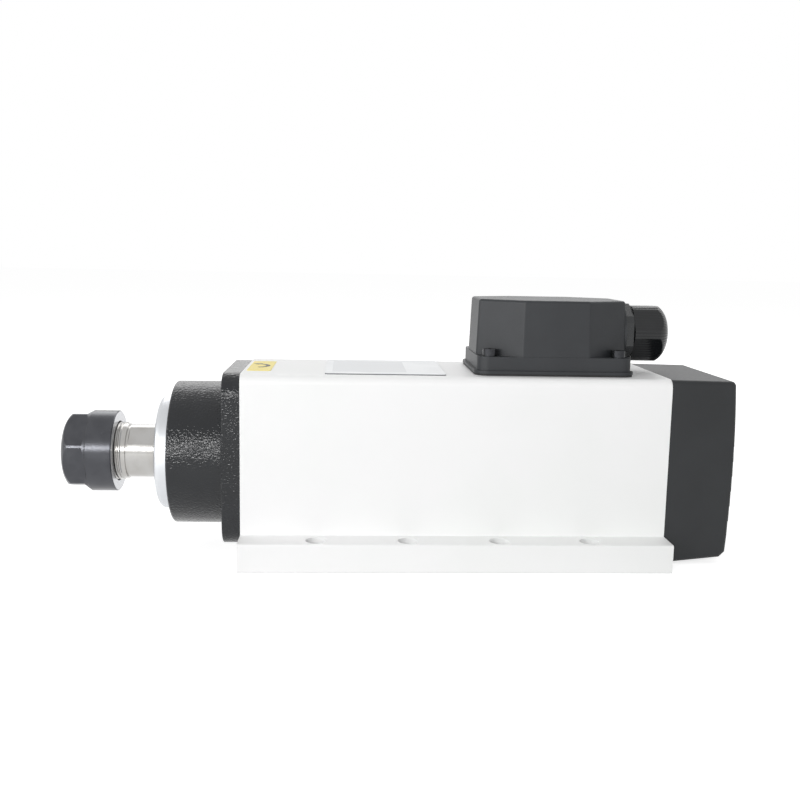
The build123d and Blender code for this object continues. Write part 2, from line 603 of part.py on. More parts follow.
# ---- collet nut: turned blank with a domed nose, six milled flats and an inner cone --------
blank_step = NUT_R - NUT_BLANK_R
mill_run = NUT_FLAT_ARC_R - (NUT_FLAT_ARC_R ** 2 - NUT_MILL_HALF ** 2) ** 0.5
with BuildPart() as collet_nut:
    with BuildSketch(SPINDLE_PLANE):
        with BuildLine():
            nose = ThreePointArc((at_x(NUT_FRONT + NUT_DOME_LENGTH), NUT_BLANK_R),
                                 (at_x(NUT_FRONT + NUT_DOME_LENGTH * NUT_DOME_MID), NUT_BLANK_R - NUT_DOME_MID_DROP),
                                 (at_x(NUT_FRONT), NUT_BLANK_R - NUT_DOME_DROP))
            Polyline(nose @ 1, (at_x(NUT_FRONT), 0), (at_x(NUT_REAR), 0),
                     (at_x(NUT_REAR), NUT_R - blank_step), (at_x(NUT_REAR - blank_step), NUT_R),
                     (at_x(NUT_FLAT_END + blank_step), NUT_R), (at_x(NUT_FLAT_END), NUT_BLANK_R),
                     nose @ 0)
        make_face()
    revolve(axis=SPINDLE_AXIS)
    for number in range(6):
        turn = radians(NUT_CORNER_ANGLE + 30 + 60 * number)
        outward = Vector(0, -cos(turn), sin(turn))
        flat = Plane(origin=Vector(0, 0, AXIS_HEIGHT) + outward * (NUT_AF / 2), x_dir=(1, 0, 0),
                     z_dir=outward)
        with BuildSketch(flat):
            with BuildLine():
                run_out = ThreePointArc((at_x(NUT_FLAT_END - mill_run), -NUT_MILL_HALF),
                                        (at_x(NUT_FLAT_END), 0),
                                        (at_x(NUT_FLAT_END - mill_run), NUT_MILL_HALF))
                Polyline(run_out @ 1, (at_x(NUT_FRONT - THROUGH), NUT_MILL_HALF),
                         (at_x(NUT_FRONT - THROUGH), -NUT_MILL_HALF), run_out @ 0)
            make_face()
        extrude(amount=NUT_R - NUT_AF / 2 + THROUGH, mode=Mode.SUBTRACT)
    with BuildSketch(SPINDLE_PLANE):
        nut_shelf = collet_front + COLLET_LIP
        thread_clear_r = THREAD_R + SLIP
        mouth_wall_r = NUT_MOUTH_R + SLIP
        turned([(NUT_FRONT, 0), (NUT_FRONT, mouth_wall_r + 2 * SLIP),
                (NUT_FRONT + 2 * SLIP, mouth_wall_r), (collet_front + FIT, mouth_wall_r),
                (nut_shelf, COLLET_TAPER_R - EDGE_BREAK),
                (nut_shelf + COLLET_LIP, COLLET_TAPER_R + EDGE_BREAK),
                (SHAFT_FRONT - THROUGH, THREAD_R + NUT_RUN_OUT), (SHAFT_FRONT, thread_clear_r),
                (NUT_REAR - NUT_REAR_CHAMFER, thread_clear_r),
                (NUT_REAR, thread_clear_r + NUT_REAR_CHAMFER), (NUT_REAR, 0)])
    revolve(axis=SPINDLE_AXIS, mode=Mode.SUBTRACT)
save(collet_nut.part, "collet_nut")

# ---- rotor: core, aluminium end rings ----------------------------------------------------
with BuildPart() as rotor_core:
    with BuildSketch(section(STACK_START)):
        Circle(ROTOR_R)
        Circle(ROTOR_BORE_R + FIT, mode=Mode.SUBTRACT)
    extrude(amount=STACK_LENGTH)
save(rotor_core.part, "rotor_core")

with BuildPart() as rotor_end_rings:
    for start in (STACK_START - END_RING_LENGTH, STACK_END):
        with BuildSketch(section(start)):
            Circle(ROTOR_R - END_RING_STEP)
            Circle(ROTOR_BORE_R + EDGE_BREAK, mode=Mode.SUBTRACT)
        extrude(amount=END_RING_LENGTH)
save(rotor_end_rings.part, "rotor_end_rings")

# ---- stator: slotted core and windings ---------------------------------------------------
stator_bore_r = ROTOR_R + AIR_GAP
slot_top_r = stator_bore_r + TOOTH_TIP + SLOT_DEPTH


def stator_slots(clearance):
    """Slots of the stator core, or the conductors in them when a clearance is given."""
    first = stator_bore_r + TOOTH_TIP + clearance
    last = slot_top_r - clearance
    with PolarLocations((first + last) / 2, STATOR_SLOTS):
        Rectangle(last - first, SLOT_OPENING - 2 * clearance)


with BuildPart() as stator_core:
    with BuildSketch(section(STACK_START)):
        Circle(STATOR_BORE_R - FIT)
        Circle(stator_bore_r, mode=Mode.SUBTRACT)
    extrude(amount=STACK_LENGTH)
    with BuildSketch(section(STACK_START)):
        stator_slots(0)
    extrude(amount=STACK_LENGTH, mode=Mode.SUBTRACT)
save(stator_core.part, "stator_core")

with BuildPart() as stator_windings:
    with BuildSketch(section(STACK_START - 1)):
        stator_slots(WINDING_CLEARANCE)
    extrude(amount=STACK_LENGTH + 2 * THROUGH)
    with BuildSketch(SPINDLE_PLANE):
        for start in (STACK_START - WINDING_OVERHANG, STACK_END + WINDING_GAP):
            length = WINDING_OVERHANG - WINDING_GAP
            with Locations((at_x(start + length / 2), (stator_bore_r + STATOR_BORE_R) / 2)):
                RectangleRounded(length, STATOR_BORE_R - stator_bore_r - WINDING_INSET, WINDING_EDGE_R)
    revolve(axis=SPINDLE_AXIS)
save(stator_windings.part, "stator_windings")

# ---- rear end plate with the rear bearing seat -------------------------------------------
with BuildPart() as rear_end_plate:
    with BuildSketch(section(BODY_LENGTH)) as plate_outline:
        Circle(END_PLATE_R)
        arm_h = 2 * (END_SCREW_UP + M4_HEAD_R)
        RectangleRounded(END_PLATE_ARM_W, arm_h, END_PLATE_ARM_R)
    extrude(amount=END_PLATE_THICKNESS)
    with BuildSketch(section(BODY_LENGTH - END_PLATE_SPIGOT)):
        Circle(REAR_OUTER_R + HUB_WALL)
    extrude(amount=END_PLATE_SPIGOT)
    with BuildSketch(section(BODY_LENGTH - HUB_SPIGOT)):
        Circle(STATOR_BORE_R - FIT)
    extrude(amount=3)
    with BuildSketch(SPINDLE_PLANE):
        seat_end = REAR_BEARING_END + SPRING_LENGTH
        turned([(BODY_LENGTH - END_PLATE_SPIGOT, 0), (BODY_LENGTH - END_PLATE_SPIGOT, REAR_OUTER_R),
                (seat_end, REAR_OUTER_R), (seat_end, REAR_BORE_R + HUB_LIP),
                (BODY_LENGTH + END_PLATE_THICKNESS, REAR_BORE_R + HUB_LIP),
                (BODY_LENGTH + END_PLATE_THICKNESS, 0)])
    revolve(axis=SPINDLE_AXIS, mode=Mode.SUBTRACT)
    with Locations(section(BODY_LENGTH + END_PLATE_THICKNESS)):
        with Locations(*[(y, z, 0) for y, z in END_SCREWS]):
            CounterSinkHole(M4_CLEAR_R, M4_HEAD_R + HEAD_CLEARANCE, depth=END_PLATE_THICKNESS + 1)
save(rear_end_plate.part, "rear_end_plate")

with BuildPart() as end_plate_screws:
    head_rear = BODY_LENGTH + END_PLATE_THICKNESS - HEAD_CLEARANCE
    head_cone = M4_HEAD_R - M4_SHANK_R
    for across, up in END_SCREWS:
        with BuildSketch(section(head_rear - head_cone - SCREW_REACH)):
            with Locations((across, up)):
                Circle(M4_SHANK_R)
        extrude(amount=SCREW_REACH + head_cone / 2)
        with BuildSketch(section(head_rear)):
            with Locations((across, up)):
                Circle(M4_HEAD_R)
        extrude(amount=-head_cone, taper=45)
    with BuildSketch(section(head_rear)):
        with Locations(*END_SCREWS):
            RegularPolygon(M4_SOCKET_AF / 2 * 0.8, 6, major_radius=False)
    extrude(amount=-END_SCREW_SLOT, mode=Mode.SUBTRACT)
save(end_plate_screws.part, "end_plate_screws")

with BuildPart() as wave_spring:
    spring_w = REAR_OUTER_R - 0.3 - (REAR_BORE_R + REAR_OUTER_R) / 2 - 1.5
    with BuildSketch(SPINDLE_PLANE):
        with Locations((at_x(REAR_BEARING_END + SPRING_LENGTH / 2), REAR_OUTER_R - 0.3 - spring_w / 2)):
            Rectangle(SPRING_LENGTH, spring_w)
    revolve(axis=SPINDLE_AXIS)
save(wave_spring.part, "wave_spring")

# ---- cooling fan on the shaft end --------------------------------------------------------
with BuildPart() as cooling_fan:
    with BuildSketch(SPINDLE_PLANE):
        turned([(FAN_START, FAN_SEAT_R + FIT), (FAN_START, FAN_R), (FAN_START + FAN_DISC_RIM, FAN_R),
                (FAN_START + 2 * FAN_DISC_RIM, FAN_HUB_R + FAN_FLARE),
                (FAN_START + FAN_FLARE_END, FAN_HUB_R), (FAN_END, FAN_HUB_R - FAN_HUB_DRAFT),
                (FAN_END, FAN_SEAT_R + FIT)])
    revolve(axis=SPINDLE_AXIS)
    blade_mid = (FAN_HUB_R + FAN_R) / 2
    with BuildSketch(section(FAN_START + FAN_DISC_RIM / 2)) as blades:
        for number in range(FAN_BLADES):
            turn = 2 * pi * number / FAN_BLADES
            sweep_back = 0.32
            root = (FAN_HUB_R * 0.9 * cos(turn), FAN_HUB_R * 0.9 * sin(turn))
            middle = (blade_mid * cos(turn + sweep_back * 0.65), blade_mid * sin(turn + sweep_back * 0.65))
            tip_r = FAN_R - FAN_BLADE_T
            tip = (tip_r * cos(turn + sweep_back), tip_r * sin(turn + sweep_back))
            SlotArc(Edge.make_three_point_arc(root, middle, tip), FAN_BLADE_T)
    extrude(amount=FAN_LENGTH - FAN_DISC_RIM / 2)
save(cooling_fan.part, "cooling_fan")

with BuildPart() as fan_circlip:
    with BuildSketch(section(FAN_END + FIT)):
        Circle(FAN_SEAT_R + CIRCLIP_PROUD)
        Circle(FAN_SEAT_R - 0.7, mode=Mode.SUBTRACT)
        with Locations((0, FAN_SEAT_R)):
            Rectangle(3.0, 6.0, mode=Mode.SUBTRACT)
    extrude(amount=CIRCLIP_T)
save(fan_circlip.part, "fan_circlip")


# ---- fan cover: moulded hood with a ring grille ------------------------------------------
def cover_side(inset):
    """Side view of the hood: level top, crowned rear wall, rising bottom."""
    rear = BODY_LENGTH + COVER_LENGTH - inset
    top, top_rear = AXIS_DROP - inset, AXIS_DROP - COVER_TOP_DROP - inset
    low_front = COVER_FRONT_LIFT - AXIS_HEIGHT + inset
    low_rear = COVER_REAR_LIFT - AXIS_HEIGHT + inset
    wall = rear - COVER_CROWN
    return [(at_x(BODY_LENGTH), top), (at_x(wall), top_rear), (at_x(rear), 0),
            (at_x(wall), low_rear + COVER_TOE), (at_x(wall - COVER_TOE), low_rear),
            (at_x(BODY_LENGTH), low_front)]


with BuildPart() as fan_cover:
    for inset, mode in ((0, Mode.ADD), (COVER_WALL, Mode.SUBTRACT)):
        side = cover_side(inset)
        with BuildSketch(SPINDLE_PLANE):
            with BuildLine():
                Polyline(side[3], side[4], side[5], side[0], side[1])
                ThreePointArc(side[1], side[2], side[3])
            make_face()
        extrude(amount=HALF_WIDTH - inset, both=True, mode=mode)
        if inset == 0:
            free = fan_cover.edges().filter_by(lambda e: e.center().X > at_x(BODY_LENGTH + 1))
            fillet(free.filter_by(lambda e: abs(e.center().Y) > HALF_WIDTH - 0.1), COVER_EDGE_R)
            free = fan_cover.edges().filter_by(lambda e: e.center().X > at_x(BODY_LENGTH + 1))
            fillet(free.filter_by(Axis.Y).sort_by(Axis.Z)[-1], COVER_EDGE_R)
    inner_rear = BODY_LENGTH + COVER_LENGTH - COVER_WALL - COVER_CROWN
    with BuildSketch(section(BODY_LENGTH)):
        with Locations(*PORTS):
            Circle(COVER_POST_R)
    extrude(amount=inner_rear - BODY_LENGTH + 1)
    with BuildSketch(section(BODY_LENGTH)):
        with Locations(*PORTS):
            Circle(M4_CLEAR_R)
    extrude(amount=COVER_LENGTH + 1, mode=Mode.SUBTRACT)
    with BuildSketch(section(inner_rear)):
        with Locations(*PORTS):
            Circle(M4_HEAD_R + HEAD_CLEARANCE)
    extrude(amount=COVER_WALL + COVER_CROWN + 1, mode=Mode.SUBTRACT)
    with BuildSketch(section(inner_rear - 1)):
        for number in reversed(range(GRILLE_RINGS)):
            ring_r = GRILLE_FIRST_R + number * GRILLE_STEP
            Circle(ring_r + GRILLE_SLOT / 2)
            Circle(ring_r - GRILLE_SLOT / 2, mode=Mode.SUBTRACT)
        outer_r = GRILLE_FIRST_R + GRILLE_RINGS * GRILLE_STEP
        with PolarLocations(outer_r / 2, GRILLE_RIBS):
            Rectangle(outer_r, GRILLE_RIB_W, mode=Mode.SUBTRACT)
    extrude(amount=COVER_WALL + COVER_CROWN + 2, mode=Mode.SUBTRACT)
save(fan_cover.part, "fan_cover")

with BuildPart() as fan_cover_screws:
    with BuildSketch(section(inner_rear)):
        with Locations(*PORTS):
            Circle(M4_HEAD_R)
    extrude(amount=COVER_HEAD_T)
    with BuildSketch(section(BODY_LENGTH - SCREW_REACH)):
        with Locations(*PORTS):
            Circle(M4_SHANK_R)
    extrude(amount=inner_rear - BODY_LENGTH + SCREW_REACH)
    with BuildSketch(section(inner_rear + COVER_HEAD_T)):
        with Locations(*PORTS):
            Rectangle(CROSS_LENGTH, SCREW_SLOT_W)
            Rectangle(SCREW_SLOT_W, CROSS_LENGTH)
    extrude(amount=-SCREW_SLOT_DEPTH, mode=Mode.SUBTRACT)
save(fan_cover_screws.part, "fan_cover_screws")

# ---- terminal box: gasket, base frame, lid -----------------------------------------------
inner_l = BOX_LENGTH - 2 * LID_WALL
inner_w = BOX_WIDTH - 2 * LID_WALL
box_end = BOX_CENTRE + BOX_LENGTH / 2


def box_outline(grow):
    """Rounded outline of the terminal box, larger by grow on every side."""
    RectangleRounded(BOX_LENGTH + 2 * grow, BOX_WIDTH + 2 * grow, BOX_CORNER_R + grow)


with BuildPart() as terminal_box_gasket:
    with BuildSketch(level(BODY_HEIGHT)):
        box_outline(LIP_PROUD - SLIP)
        RectangleRounded(inner_l - GASKET_END, inner_w - 2 * GASKET_END, BOX_CORNER_R, mode=Mode.SUBTRACT)
        with Locations(*BOX_SCREWS):
            Circle(M3_HOLE_R + SLIP, mode=Mode.SUBTRACT)
    extrude(amount=GASKET_T)
save(terminal_box_gasket.part, "terminal_box_gasket")

with BuildPart() as terminal_box_base:
    with BuildSketch(level(BASE_Z)):
        box_outline(LIP_PROUD)
    extrude(amount=LIP_T)
    with BuildSketch(level(BASE_Z)):
        Circle(WIRE_HOLE_R)
        with Locations(*BOX_SCREWS):
            Circle(M3_HOLE_R + SLIP)
    extrude(amount=LIP_T, mode=Mode.SUBTRACT)
save(terminal_box_base.part, "terminal_box_base")


def lid_octagon(inset, drop):
    """Plan of the raised part of the lid; drop draws it in for the mould draft."""
    half_l = BOX_LENGTH / 2 - LID_SETBACK - inset - drop
    half_w = BOX_WIDTH / 2 - LID_SIDE_SETBACK - inset - drop
    side = LID_SIDE_LENGTH / 2 - inset * 0.4 - drop * 0.4
    end = LID_END_HALF - inset * 0.4 - drop * 0.4
    quarter = [(half_l, end), (side, half_w)]
    points = quarter + [(-x, y) for x, y in reversed(quarter)]
    Polygon(*points, *[(-x, -y) for x, y in points], align=None)


draft = LID_HEIGHT * tan(radians(LID_DRAFT))
gland_root = box_end + GLAND_PAD_PROUD
pad_inner = box_end - LID_SETBACK - LID_WALL - draft
with BuildPart() as terminal_box_lid:
    with BuildSketch(level(SHELF_Z)):
        lid_octagon(0, 0)
    with BuildSketch(level(LID_TOP)):
        lid_octagon(0, draft)
    loft()
    fillet(terminal_box_lid.edges().filter_by(lambda e: abs(e.tangent_at(0.5).Z) > 0.9),
           LID_CORNER_R)
    fillet(terminal_box_lid.faces().sort_by(Axis.Z)[-1].edges(), LID_EDGE_R)
    with BuildSketch(level(LID_Z)):
        box_outline(0)
    extrude(amount=SKIRT_HEIGHT)
    with BuildSketch(level(LID_Z)):
        lid_octagon(LID_WALL, 0)
    with BuildSketch(level(LID_TOP - LID_WALL)):
        lid_octagon(LID_WALL, draft)
    loft(mode=Mode.SUBTRACT)
    with BuildSketch(level(LID_Z)):
        with Locations(*BOX_SCREWS):
            Circle(M3_HOLE_R + SLIP)
    extrude(amount=SKIRT_HEIGHT, mode=Mode.SUBTRACT)
    with BuildSketch(section(pad_inner, GLAND_AXIS)):
        Circle(GLAND_CORNER_R)
    extrude(amount=gland_root - pad_inner)
    with BuildSketch(section(pad_inner, GLAND_AXIS)):
        Circle(GLAND_THREAD_R + GLAND_HOLE_SPARE)
    extrude(amount=gland_root - pad_inner, mode=Mode.SUBTRACT)
save(terminal_box_lid.part, "terminal_box_lid")

with BuildPart() as terminal_box_screws:
    with BuildSketch(level(SHELF_Z)):
        with Locations(*BOX_SCREWS):
            Circle(BOX_SCREW_HEAD_R)
    extrude(amount=BOX_SCREW_HEAD_T)
    with BuildSketch(level(BODY_HEIGHT - OUTER_WALL)):
        with Locations(*BOX_SCREWS):
            Circle(M3_SHANK_R)
    extrude(amount=SHELF_Z - BODY_HEIGHT + OUTER_WALL)
    with BuildSketch(level(SHELF_Z + BOX_SCREW_HEAD_T)):
        with Locations(*BOX_SCREWS):
            Rectangle(CROSS_LENGTH, SCREW_SLOT_W)
            Rectangle(SCREW_SLOT_W, CROSS_LENGTH)
    extrude(amount=-SCREW_SLOT_DEPTH, mode=Mode.SUBTRACT)
save(terminal_box_screws.part, "terminal_box_screws")

# ---- terminal block inside the box -------------------------------------------------------
def block_level(height):
    """Plane on the terminal block at a height above the base frame."""
    return Plane(origin=(at_x(BOX_CENTRE), -BOX_WIDTH / 2 + BLOCK_SETBACK, LID_Z + height))


with BuildPart() as terminal_block:
    with BuildSketch(block_level(0)):
        Rectangle(BLOCK_LENGTH, BLOCK_WIDTH)
    extrude(amount=BLOCK_HEIGHT)
    chamfer(terminal_block.edges().filter_by(Axis.X).group_by(Axis.Z)[-1], BLOCK_CHAMFER)
    with BuildSketch(block_level(BLOCK_HEIGHT)):
        with GridLocations(BLOCK_LENGTH / BLOCK_WAYS, 1, BLOCK_WAYS, 1):
            Circle(TERMINAL_SCREW_R + 4 * FIT)
    extrude(amount=-TERMINAL_DEPTH, mode=Mode.SUBTRACT)
save(terminal_block.part, "terminal_block")

with BuildPart() as terminal_screws:
    with BuildSketch(block_level(BLOCK_HEIGHT - TERMINAL_DEPTH)):
        with GridLocations(BLOCK_LENGTH / BLOCK_WAYS, 1, BLOCK_WAYS, 1):
            Circle(TERMINAL_SCREW_R)
    extrude(amount=TERMINAL_SCREW_LENGTH)
    with BuildSketch(block_level(BLOCK_HEIGHT - TERMINAL_DEPTH + TERMINAL_SCREW_LENGTH)):
        with GridLocations(BLOCK_LENGTH / BLOCK_WAYS, 1, BLOCK_WAYS, 1):
            Rectangle(SCREW_SLOT_SPAN * TERMINAL_SCREW_R, SCREW_SLOT_W)
    extrude(amount=-SCREW_SLOT_DEPTH, mode=Mode.SUBTRACT)
save(terminal_screws.part, "terminal_screws")

# ---- cable gland -------------------------------------------------------------------------
gland_face = gland_root + GLAND_HEX_LENGTH
nut_start = gland_face + GLAND_NUT_GAP
gland_end = nut_start + GLAND_NUT_LENGTH
body_end = gland_face + GLAND_NUT_LENGTH * GLAND_BODY_SHARE
seal_r = GLAND_THREAD_R - GLAND_WALL
with BuildPart() as gland_body:
    with BuildSketch(section(gland_root, GLAND_AXIS)):
        RegularPolygon(GLAND_AF / 2, 6, major_radius=False, rotation=30)
        Circle(GLAND_CORNER_R, mode=Mode.INTERSECT)
    extrude(amount=GLAND_HEX_LENGTH)
    with BuildSketch(GLAND_PLANE):
        turned([(pad_inner - GLAND_TAIL, seal_r), (pad_inner - GLAND_TAIL, GLAND_THREAD_R),
                (body_end, GLAND_THREAD_R), (body_end, seal_r)])
    revolve(axis=GLAND_LINE)
    with BuildSketch(section(gland_root - THROUGH, GLAND_AXIS)):
        Circle(seal_r)
    extrude(amount=GLAND_HEX_LENGTH + 2 * THROUGH, mode=Mode.SUBTRACT)
save(gland_body.part, "gland_body")

with BuildPart() as gland_locknut:
    with BuildSketch(section(pad_inner - GLAND_LOCKNUT_T, GLAND_AXIS)):
        RegularPolygon(GLAND_AF / 2 - 0.8, 6, major_radius=False)
        Circle(GLAND_THREAD_R + GLAND_WALL, mode=Mode.INTERSECT)
        Circle(GLAND_THREAD_R + FIT, mode=Mode.SUBTRACT)
    extrude(amount=GLAND_LOCKNUT_T)
save(gland_locknut.part, "gland_locknut")

with BuildPart() as gland_seal:
    with BuildSketch(GLAND_PLANE):
        seal_end = gland_face + SEAL_FRONT
        turned([(gland_face - SEAL_BACK, GLAND_CABLE_R), (gland_face - SEAL_BACK, seal_r - SLIP),
                (seal_end - SEAL_TAPER, seal_r - SLIP), (seal_end, seal_r - GLAND_WALL),
                (seal_end, GLAND_CABLE_R)])
    revolve(axis=GLAND_LINE)
save(gland_seal.part, "gland_seal")

with BuildPart() as gland_dome_nut:
    with BuildSketch(GLAND_PLANE):
        dome = nut_start + GLAND_NUT_LENGTH * GLAND_HEX_SHARE
        with BuildLine():
            crown = ThreePointArc((at_x(dome), GLAND_CORNER_R + EDGE_BREAK),
                                  (at_x(gland_end - GLAND_DOME_MID), GLAND_CORNER_R - GLAND_DOME_MID_DROP),
                                  (at_x(gland_end), GLAND_CORNER_R - GLAND_DOME_DROP))
            Polyline(crown @ 1, (at_x(gland_end), 0), (at_x(nut_start), 0),
                     (at_x(nut_start), GLAND_CORNER_R + EDGE_BREAK), crown @ 0)
        make_face()
    revolve(axis=GLAND_LINE)
    with BuildSketch(section(nut_start, GLAND_AXIS)):
        RegularPolygon(GLAND_AF / 2, 6, major_radius=False)
        Circle(GLAND_CORNER_R, mode=Mode.INTERSECT)
    extrude(amount=GLAND_NUT_LENGTH, mode=Mode.INTERSECT)
    with BuildSketch(GLAND_PLANE):
        turned([(nut_start, 0), (nut_start, GLAND_THREAD_R + SLIP),
                (body_end + 0.5, GLAND_THREAD_R + SLIP), (body_end + 1.6, GLAND_CABLE_R + 2.2),
                (gland_end - 2.5, GLAND_CABLE_R + 1.2), (gland_end, GLAND_CABLE_R + 1.6),
                (gland_end, 0)])
    revolve(axis=GLAND_LINE, mode=Mode.SUBTRACT)
save(gland_dome_nut.part, "gland_dome_nut")

# ---- bare rating plate and rotation sticker ----------------------------------------------
with BuildPart() as rating_plate:
    with BuildSketch(Plane(origin=(at_x(PLATE_LABEL_CENTRE), 0, BODY_HEIGHT))):
        RectangleRounded(PLATE_LABEL[0], PLATE_LABEL[1], 1.5)
    extrude(amount=PLATE_LABEL[2])
save(rating_plate.part, "rating_plate")

with BuildPart() as rotation_sticker:
    with BuildSketch(Plane(origin=(at_x(STICKER_CENTRE), 0, BODY_HEIGHT))):
        RectangleRounded(STICKER[0], STICKER[1], 1.0)
    extrude(amount=STICKER[2])
save(rotation_sticker.part, "rotation_sticker")
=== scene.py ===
"""Looks of an air-cooled square motor spindle with a collet nose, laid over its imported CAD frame.

The object's lengths are written in millimetres, in the part's own frame, and mm() turns them into
Blender's metres. X runs from the tool end (-X) to the fan end (+X), Z is up and the origin is on
the mounting face. The studio's lengths are in metres, apart from the camera's place, lens and
sensor.
"""
import logging
from dataclasses import dataclass, field
from enum import Enum
from math import cos, pi, radians, sin
from typing import Optional, Union

import bmesh
import bpy
from mathutils import Matrix, Vector


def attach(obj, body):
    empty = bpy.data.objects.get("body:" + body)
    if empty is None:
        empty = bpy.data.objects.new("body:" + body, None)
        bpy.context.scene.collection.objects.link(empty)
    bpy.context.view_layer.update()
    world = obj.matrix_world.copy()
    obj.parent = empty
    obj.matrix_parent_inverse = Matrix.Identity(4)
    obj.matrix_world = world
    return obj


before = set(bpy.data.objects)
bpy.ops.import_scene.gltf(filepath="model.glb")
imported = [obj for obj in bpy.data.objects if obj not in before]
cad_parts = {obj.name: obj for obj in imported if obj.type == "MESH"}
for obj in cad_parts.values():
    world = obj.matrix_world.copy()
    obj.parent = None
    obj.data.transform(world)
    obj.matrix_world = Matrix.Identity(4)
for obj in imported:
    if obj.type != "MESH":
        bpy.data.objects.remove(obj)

LOG = logging.getLogger("spindle")
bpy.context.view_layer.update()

Tree = bpy.types.NodeTree
Socket = bpy.types.NodeSocket
Point = tuple[float, float, float]

# Heights of the spindle's and the gland's axis, and X of the extrusion's front end.
AXIS_HEIGHT = 40.4
GLAND_AXIS = 95.2
BODY_FRONT = -87.5
# Radius of the gland nut, at which its grip ribs are counted.
GRIP_RADIUS = 12.0
# Points of a new mesh that lie nearer than this are joined.
WELD = 0.001
# X is multiplied by this before the noise of a drawn surface is read, which draws out its lines.
DRAWN_SQUEEZE = 0.015
# The wave texture turns by 20 radians a metre for each unit of scale; this makes one wave a grain.
WAVE_SCALE = pi / 10
# Noise heights between which the roughness moves, and between which the second colour comes in.
ROUGHNESS_SPAN = (0.2, 0.8)
DRIFT_SPAN = (0.35, 0.7)
DRIFT_DETAIL = 3.0
# Numbered sockets of the node that mixes two colours.
MIX_SHARE, MIX_FIRST, MIX_SECOND, MIX_RESULT = 0, 6, 7, 2
WHITE = (1, 1, 1, 1)


def mm(length: float) -> float:
    """Turn a length in millimetres into metres.

    Args:
        length: the length in millimetres.

    Returns:
        The same length in metres.
    """
    return length * 0.001


def at_x(station: float) -> float:
    """Give the X of a station measured from the front end of the extrusion.

    Args:
        station: distance behind the extrusion's front end, in millimetres.

    Returns:
        X in the part's frame, in metres.
    """
    return mm(BODY_FRONT + station)


def linear(colour: str) -> tuple[float, float, float, float]:
    """Turn an sRGB hex colour into linear values, by the standard's own curve.

    Args:
        colour: the colour as six hex digits after a hash.

    Returns:
        Red, green, blue and alpha, linear.
    """
    parts = [int(colour[i:i + 2], 16) / 255 for i in (1, 3, 5)]
    red, green, blue = [c / 12.92 if c <= 0.04045 else ((c + 0.055) / 1.055) ** 2.4
                        for c in parts]
    return red, green, blue, 1.0


def add_node(tree: Tree, kind: str, settings: Optional[dict] = None,
             values: Optional[dict] = None, links: Optional[dict] = None) -> bpy.types.Node:
    """Add one node, set it up and link its inputs.

    Args:
        tree: the node tree that gets it.
        kind: the node's type.
        settings: properties of the node and their values.
        values: input sockets, by name or number, and their default values.
        links: input sockets, by name or number, and the output sockets that feed them.

    Returns:
        The new node.
    """
    made = tree.nodes.new(kind)
    for name, value in (settings or {}).items():
        setattr(made, name, value)
    for socket, value in (values or {}).items():
        made.inputs[socket].default_value = value
    for socket, source in (links or {}).items():
        tree.links.new(source, made.inputs[socket])
    return made


def calculate(tree: Tree, operation: str, *terms: Union[Socket, float]) -> Socket:
    """Add one step of arithmetic.

    Args:
        tree: the node tree that gets it.
        operation: the math node's operation.
        terms: what it works on, in order, each an output socket or a plain number.

    Returns:
        The result.
    """
    links = {number: term for number, term in enumerate(terms) if isinstance(term, Socket)}
    values = {number: term for number, term in enumerate(terms) if number not in links}
    return add_node(tree, "ShaderNodeMath", {"operation": operation}, values, links).outputs[0]


def axes(tree: Tree, place: Socket) -> bpy.types.bpy_prop_collection:
    """Split a place into its X, Y and Z.

    Args:
        tree: the material's node tree.
        place: the place.

    Returns:
        The outputs, named X, Y and Z.
    """
    return add_node(tree, "ShaderNodeSeparateXYZ", links={"Vector": place}).outputs


def noise(tree: Tree, place: Socket, grain: float, detail: float) -> Socket:
    """Add a noise.

    Args:
        tree: the material's node tree.
        place: the place at which it is read.
        grain: width of one grain, in millimetres.
        detail: number of finer layers in it.

    Returns:
        Its height, from 0 to 1.
    """
    return add_node(tree, "ShaderNodeTexNoise", {}, {"Scale": 1 / mm(grain), "Detail": detail},
                    {"Vector": place}).outputs["Fac"]


def mixed(tree: Tree, share: Socket, first: Union[Socket, str], second: str) -> Socket:
    """Lay a second colour over a first one.

    Args:
        tree: the material's node tree.
        share: share of the second colour.
        first: the first colour, as an output socket or as sRGB hex.
        second: the second colour, as sRGB hex.

    Returns:
        The mixed colour.
    """
    values, links = {MIX_SECOND: linear(second)}, {MIX_SHARE: share}
    if isinstance(first, str):
        values[MIX_FIRST] = linear(first)
    else:
        links[MIX_FIRST] = first
    return add_node(tree, "ShaderNodeMix", {"data_type": "RGBA"}, values,
                    links).outputs[MIX_RESULT]


def empty_tree(owner: Union[bpy.types.Material, bpy.types.World]) -> Tree:
    """Give a material or a world an empty node tree.

    Args:
        owner: the material or world.

    Returns:
        Its node tree.
    """
    owner.use_nodes = True
    owner.node_tree.nodes.clear()
    return owner.node_tree


def mesh_object(name: str, mesh: bmesh.types.BMesh) -> bpy.types.Object:
    """Turn a bmesh into an object of the scene.

    Args:
        name: name of the object and of its mesh.
        mesh: the shape, which is freed here.

    Returns:
        The new object.
    """
    data = bpy.data.meshes.new(name)
    mesh.to_mesh(data)
    mesh.free()
    made = bpy.data.objects.new(name, data)
    bpy.context.scene.collection.objects.link(made)
    return made


class Grain(Enum):
    """How a surface was made, which sets the pattern of its fine relief."""

    MOULDED = "spark-eroded mould texture"
    HAMMERED = "lumpy gloss paint"
    BLASTED = "bead-blasted"
    TURNED = "lathe lines round the spindle axis"
    DRAWN = "lines along X"
    STACKED = "edges of stacked sheets"
    WOUND = "varnished wire"
    RIBBED = "grip ribs round the gland axis"


# Finer layers in the noise of each grain that is made of noise.
GRAIN_DETAIL = {Grain.MOULDED: 2.0, Grain.HAMMERED: 1.0, Grain.BLASTED: 4.0, Grain.TURNED: 3.0,
                Grain.DRAWN: 3.0}
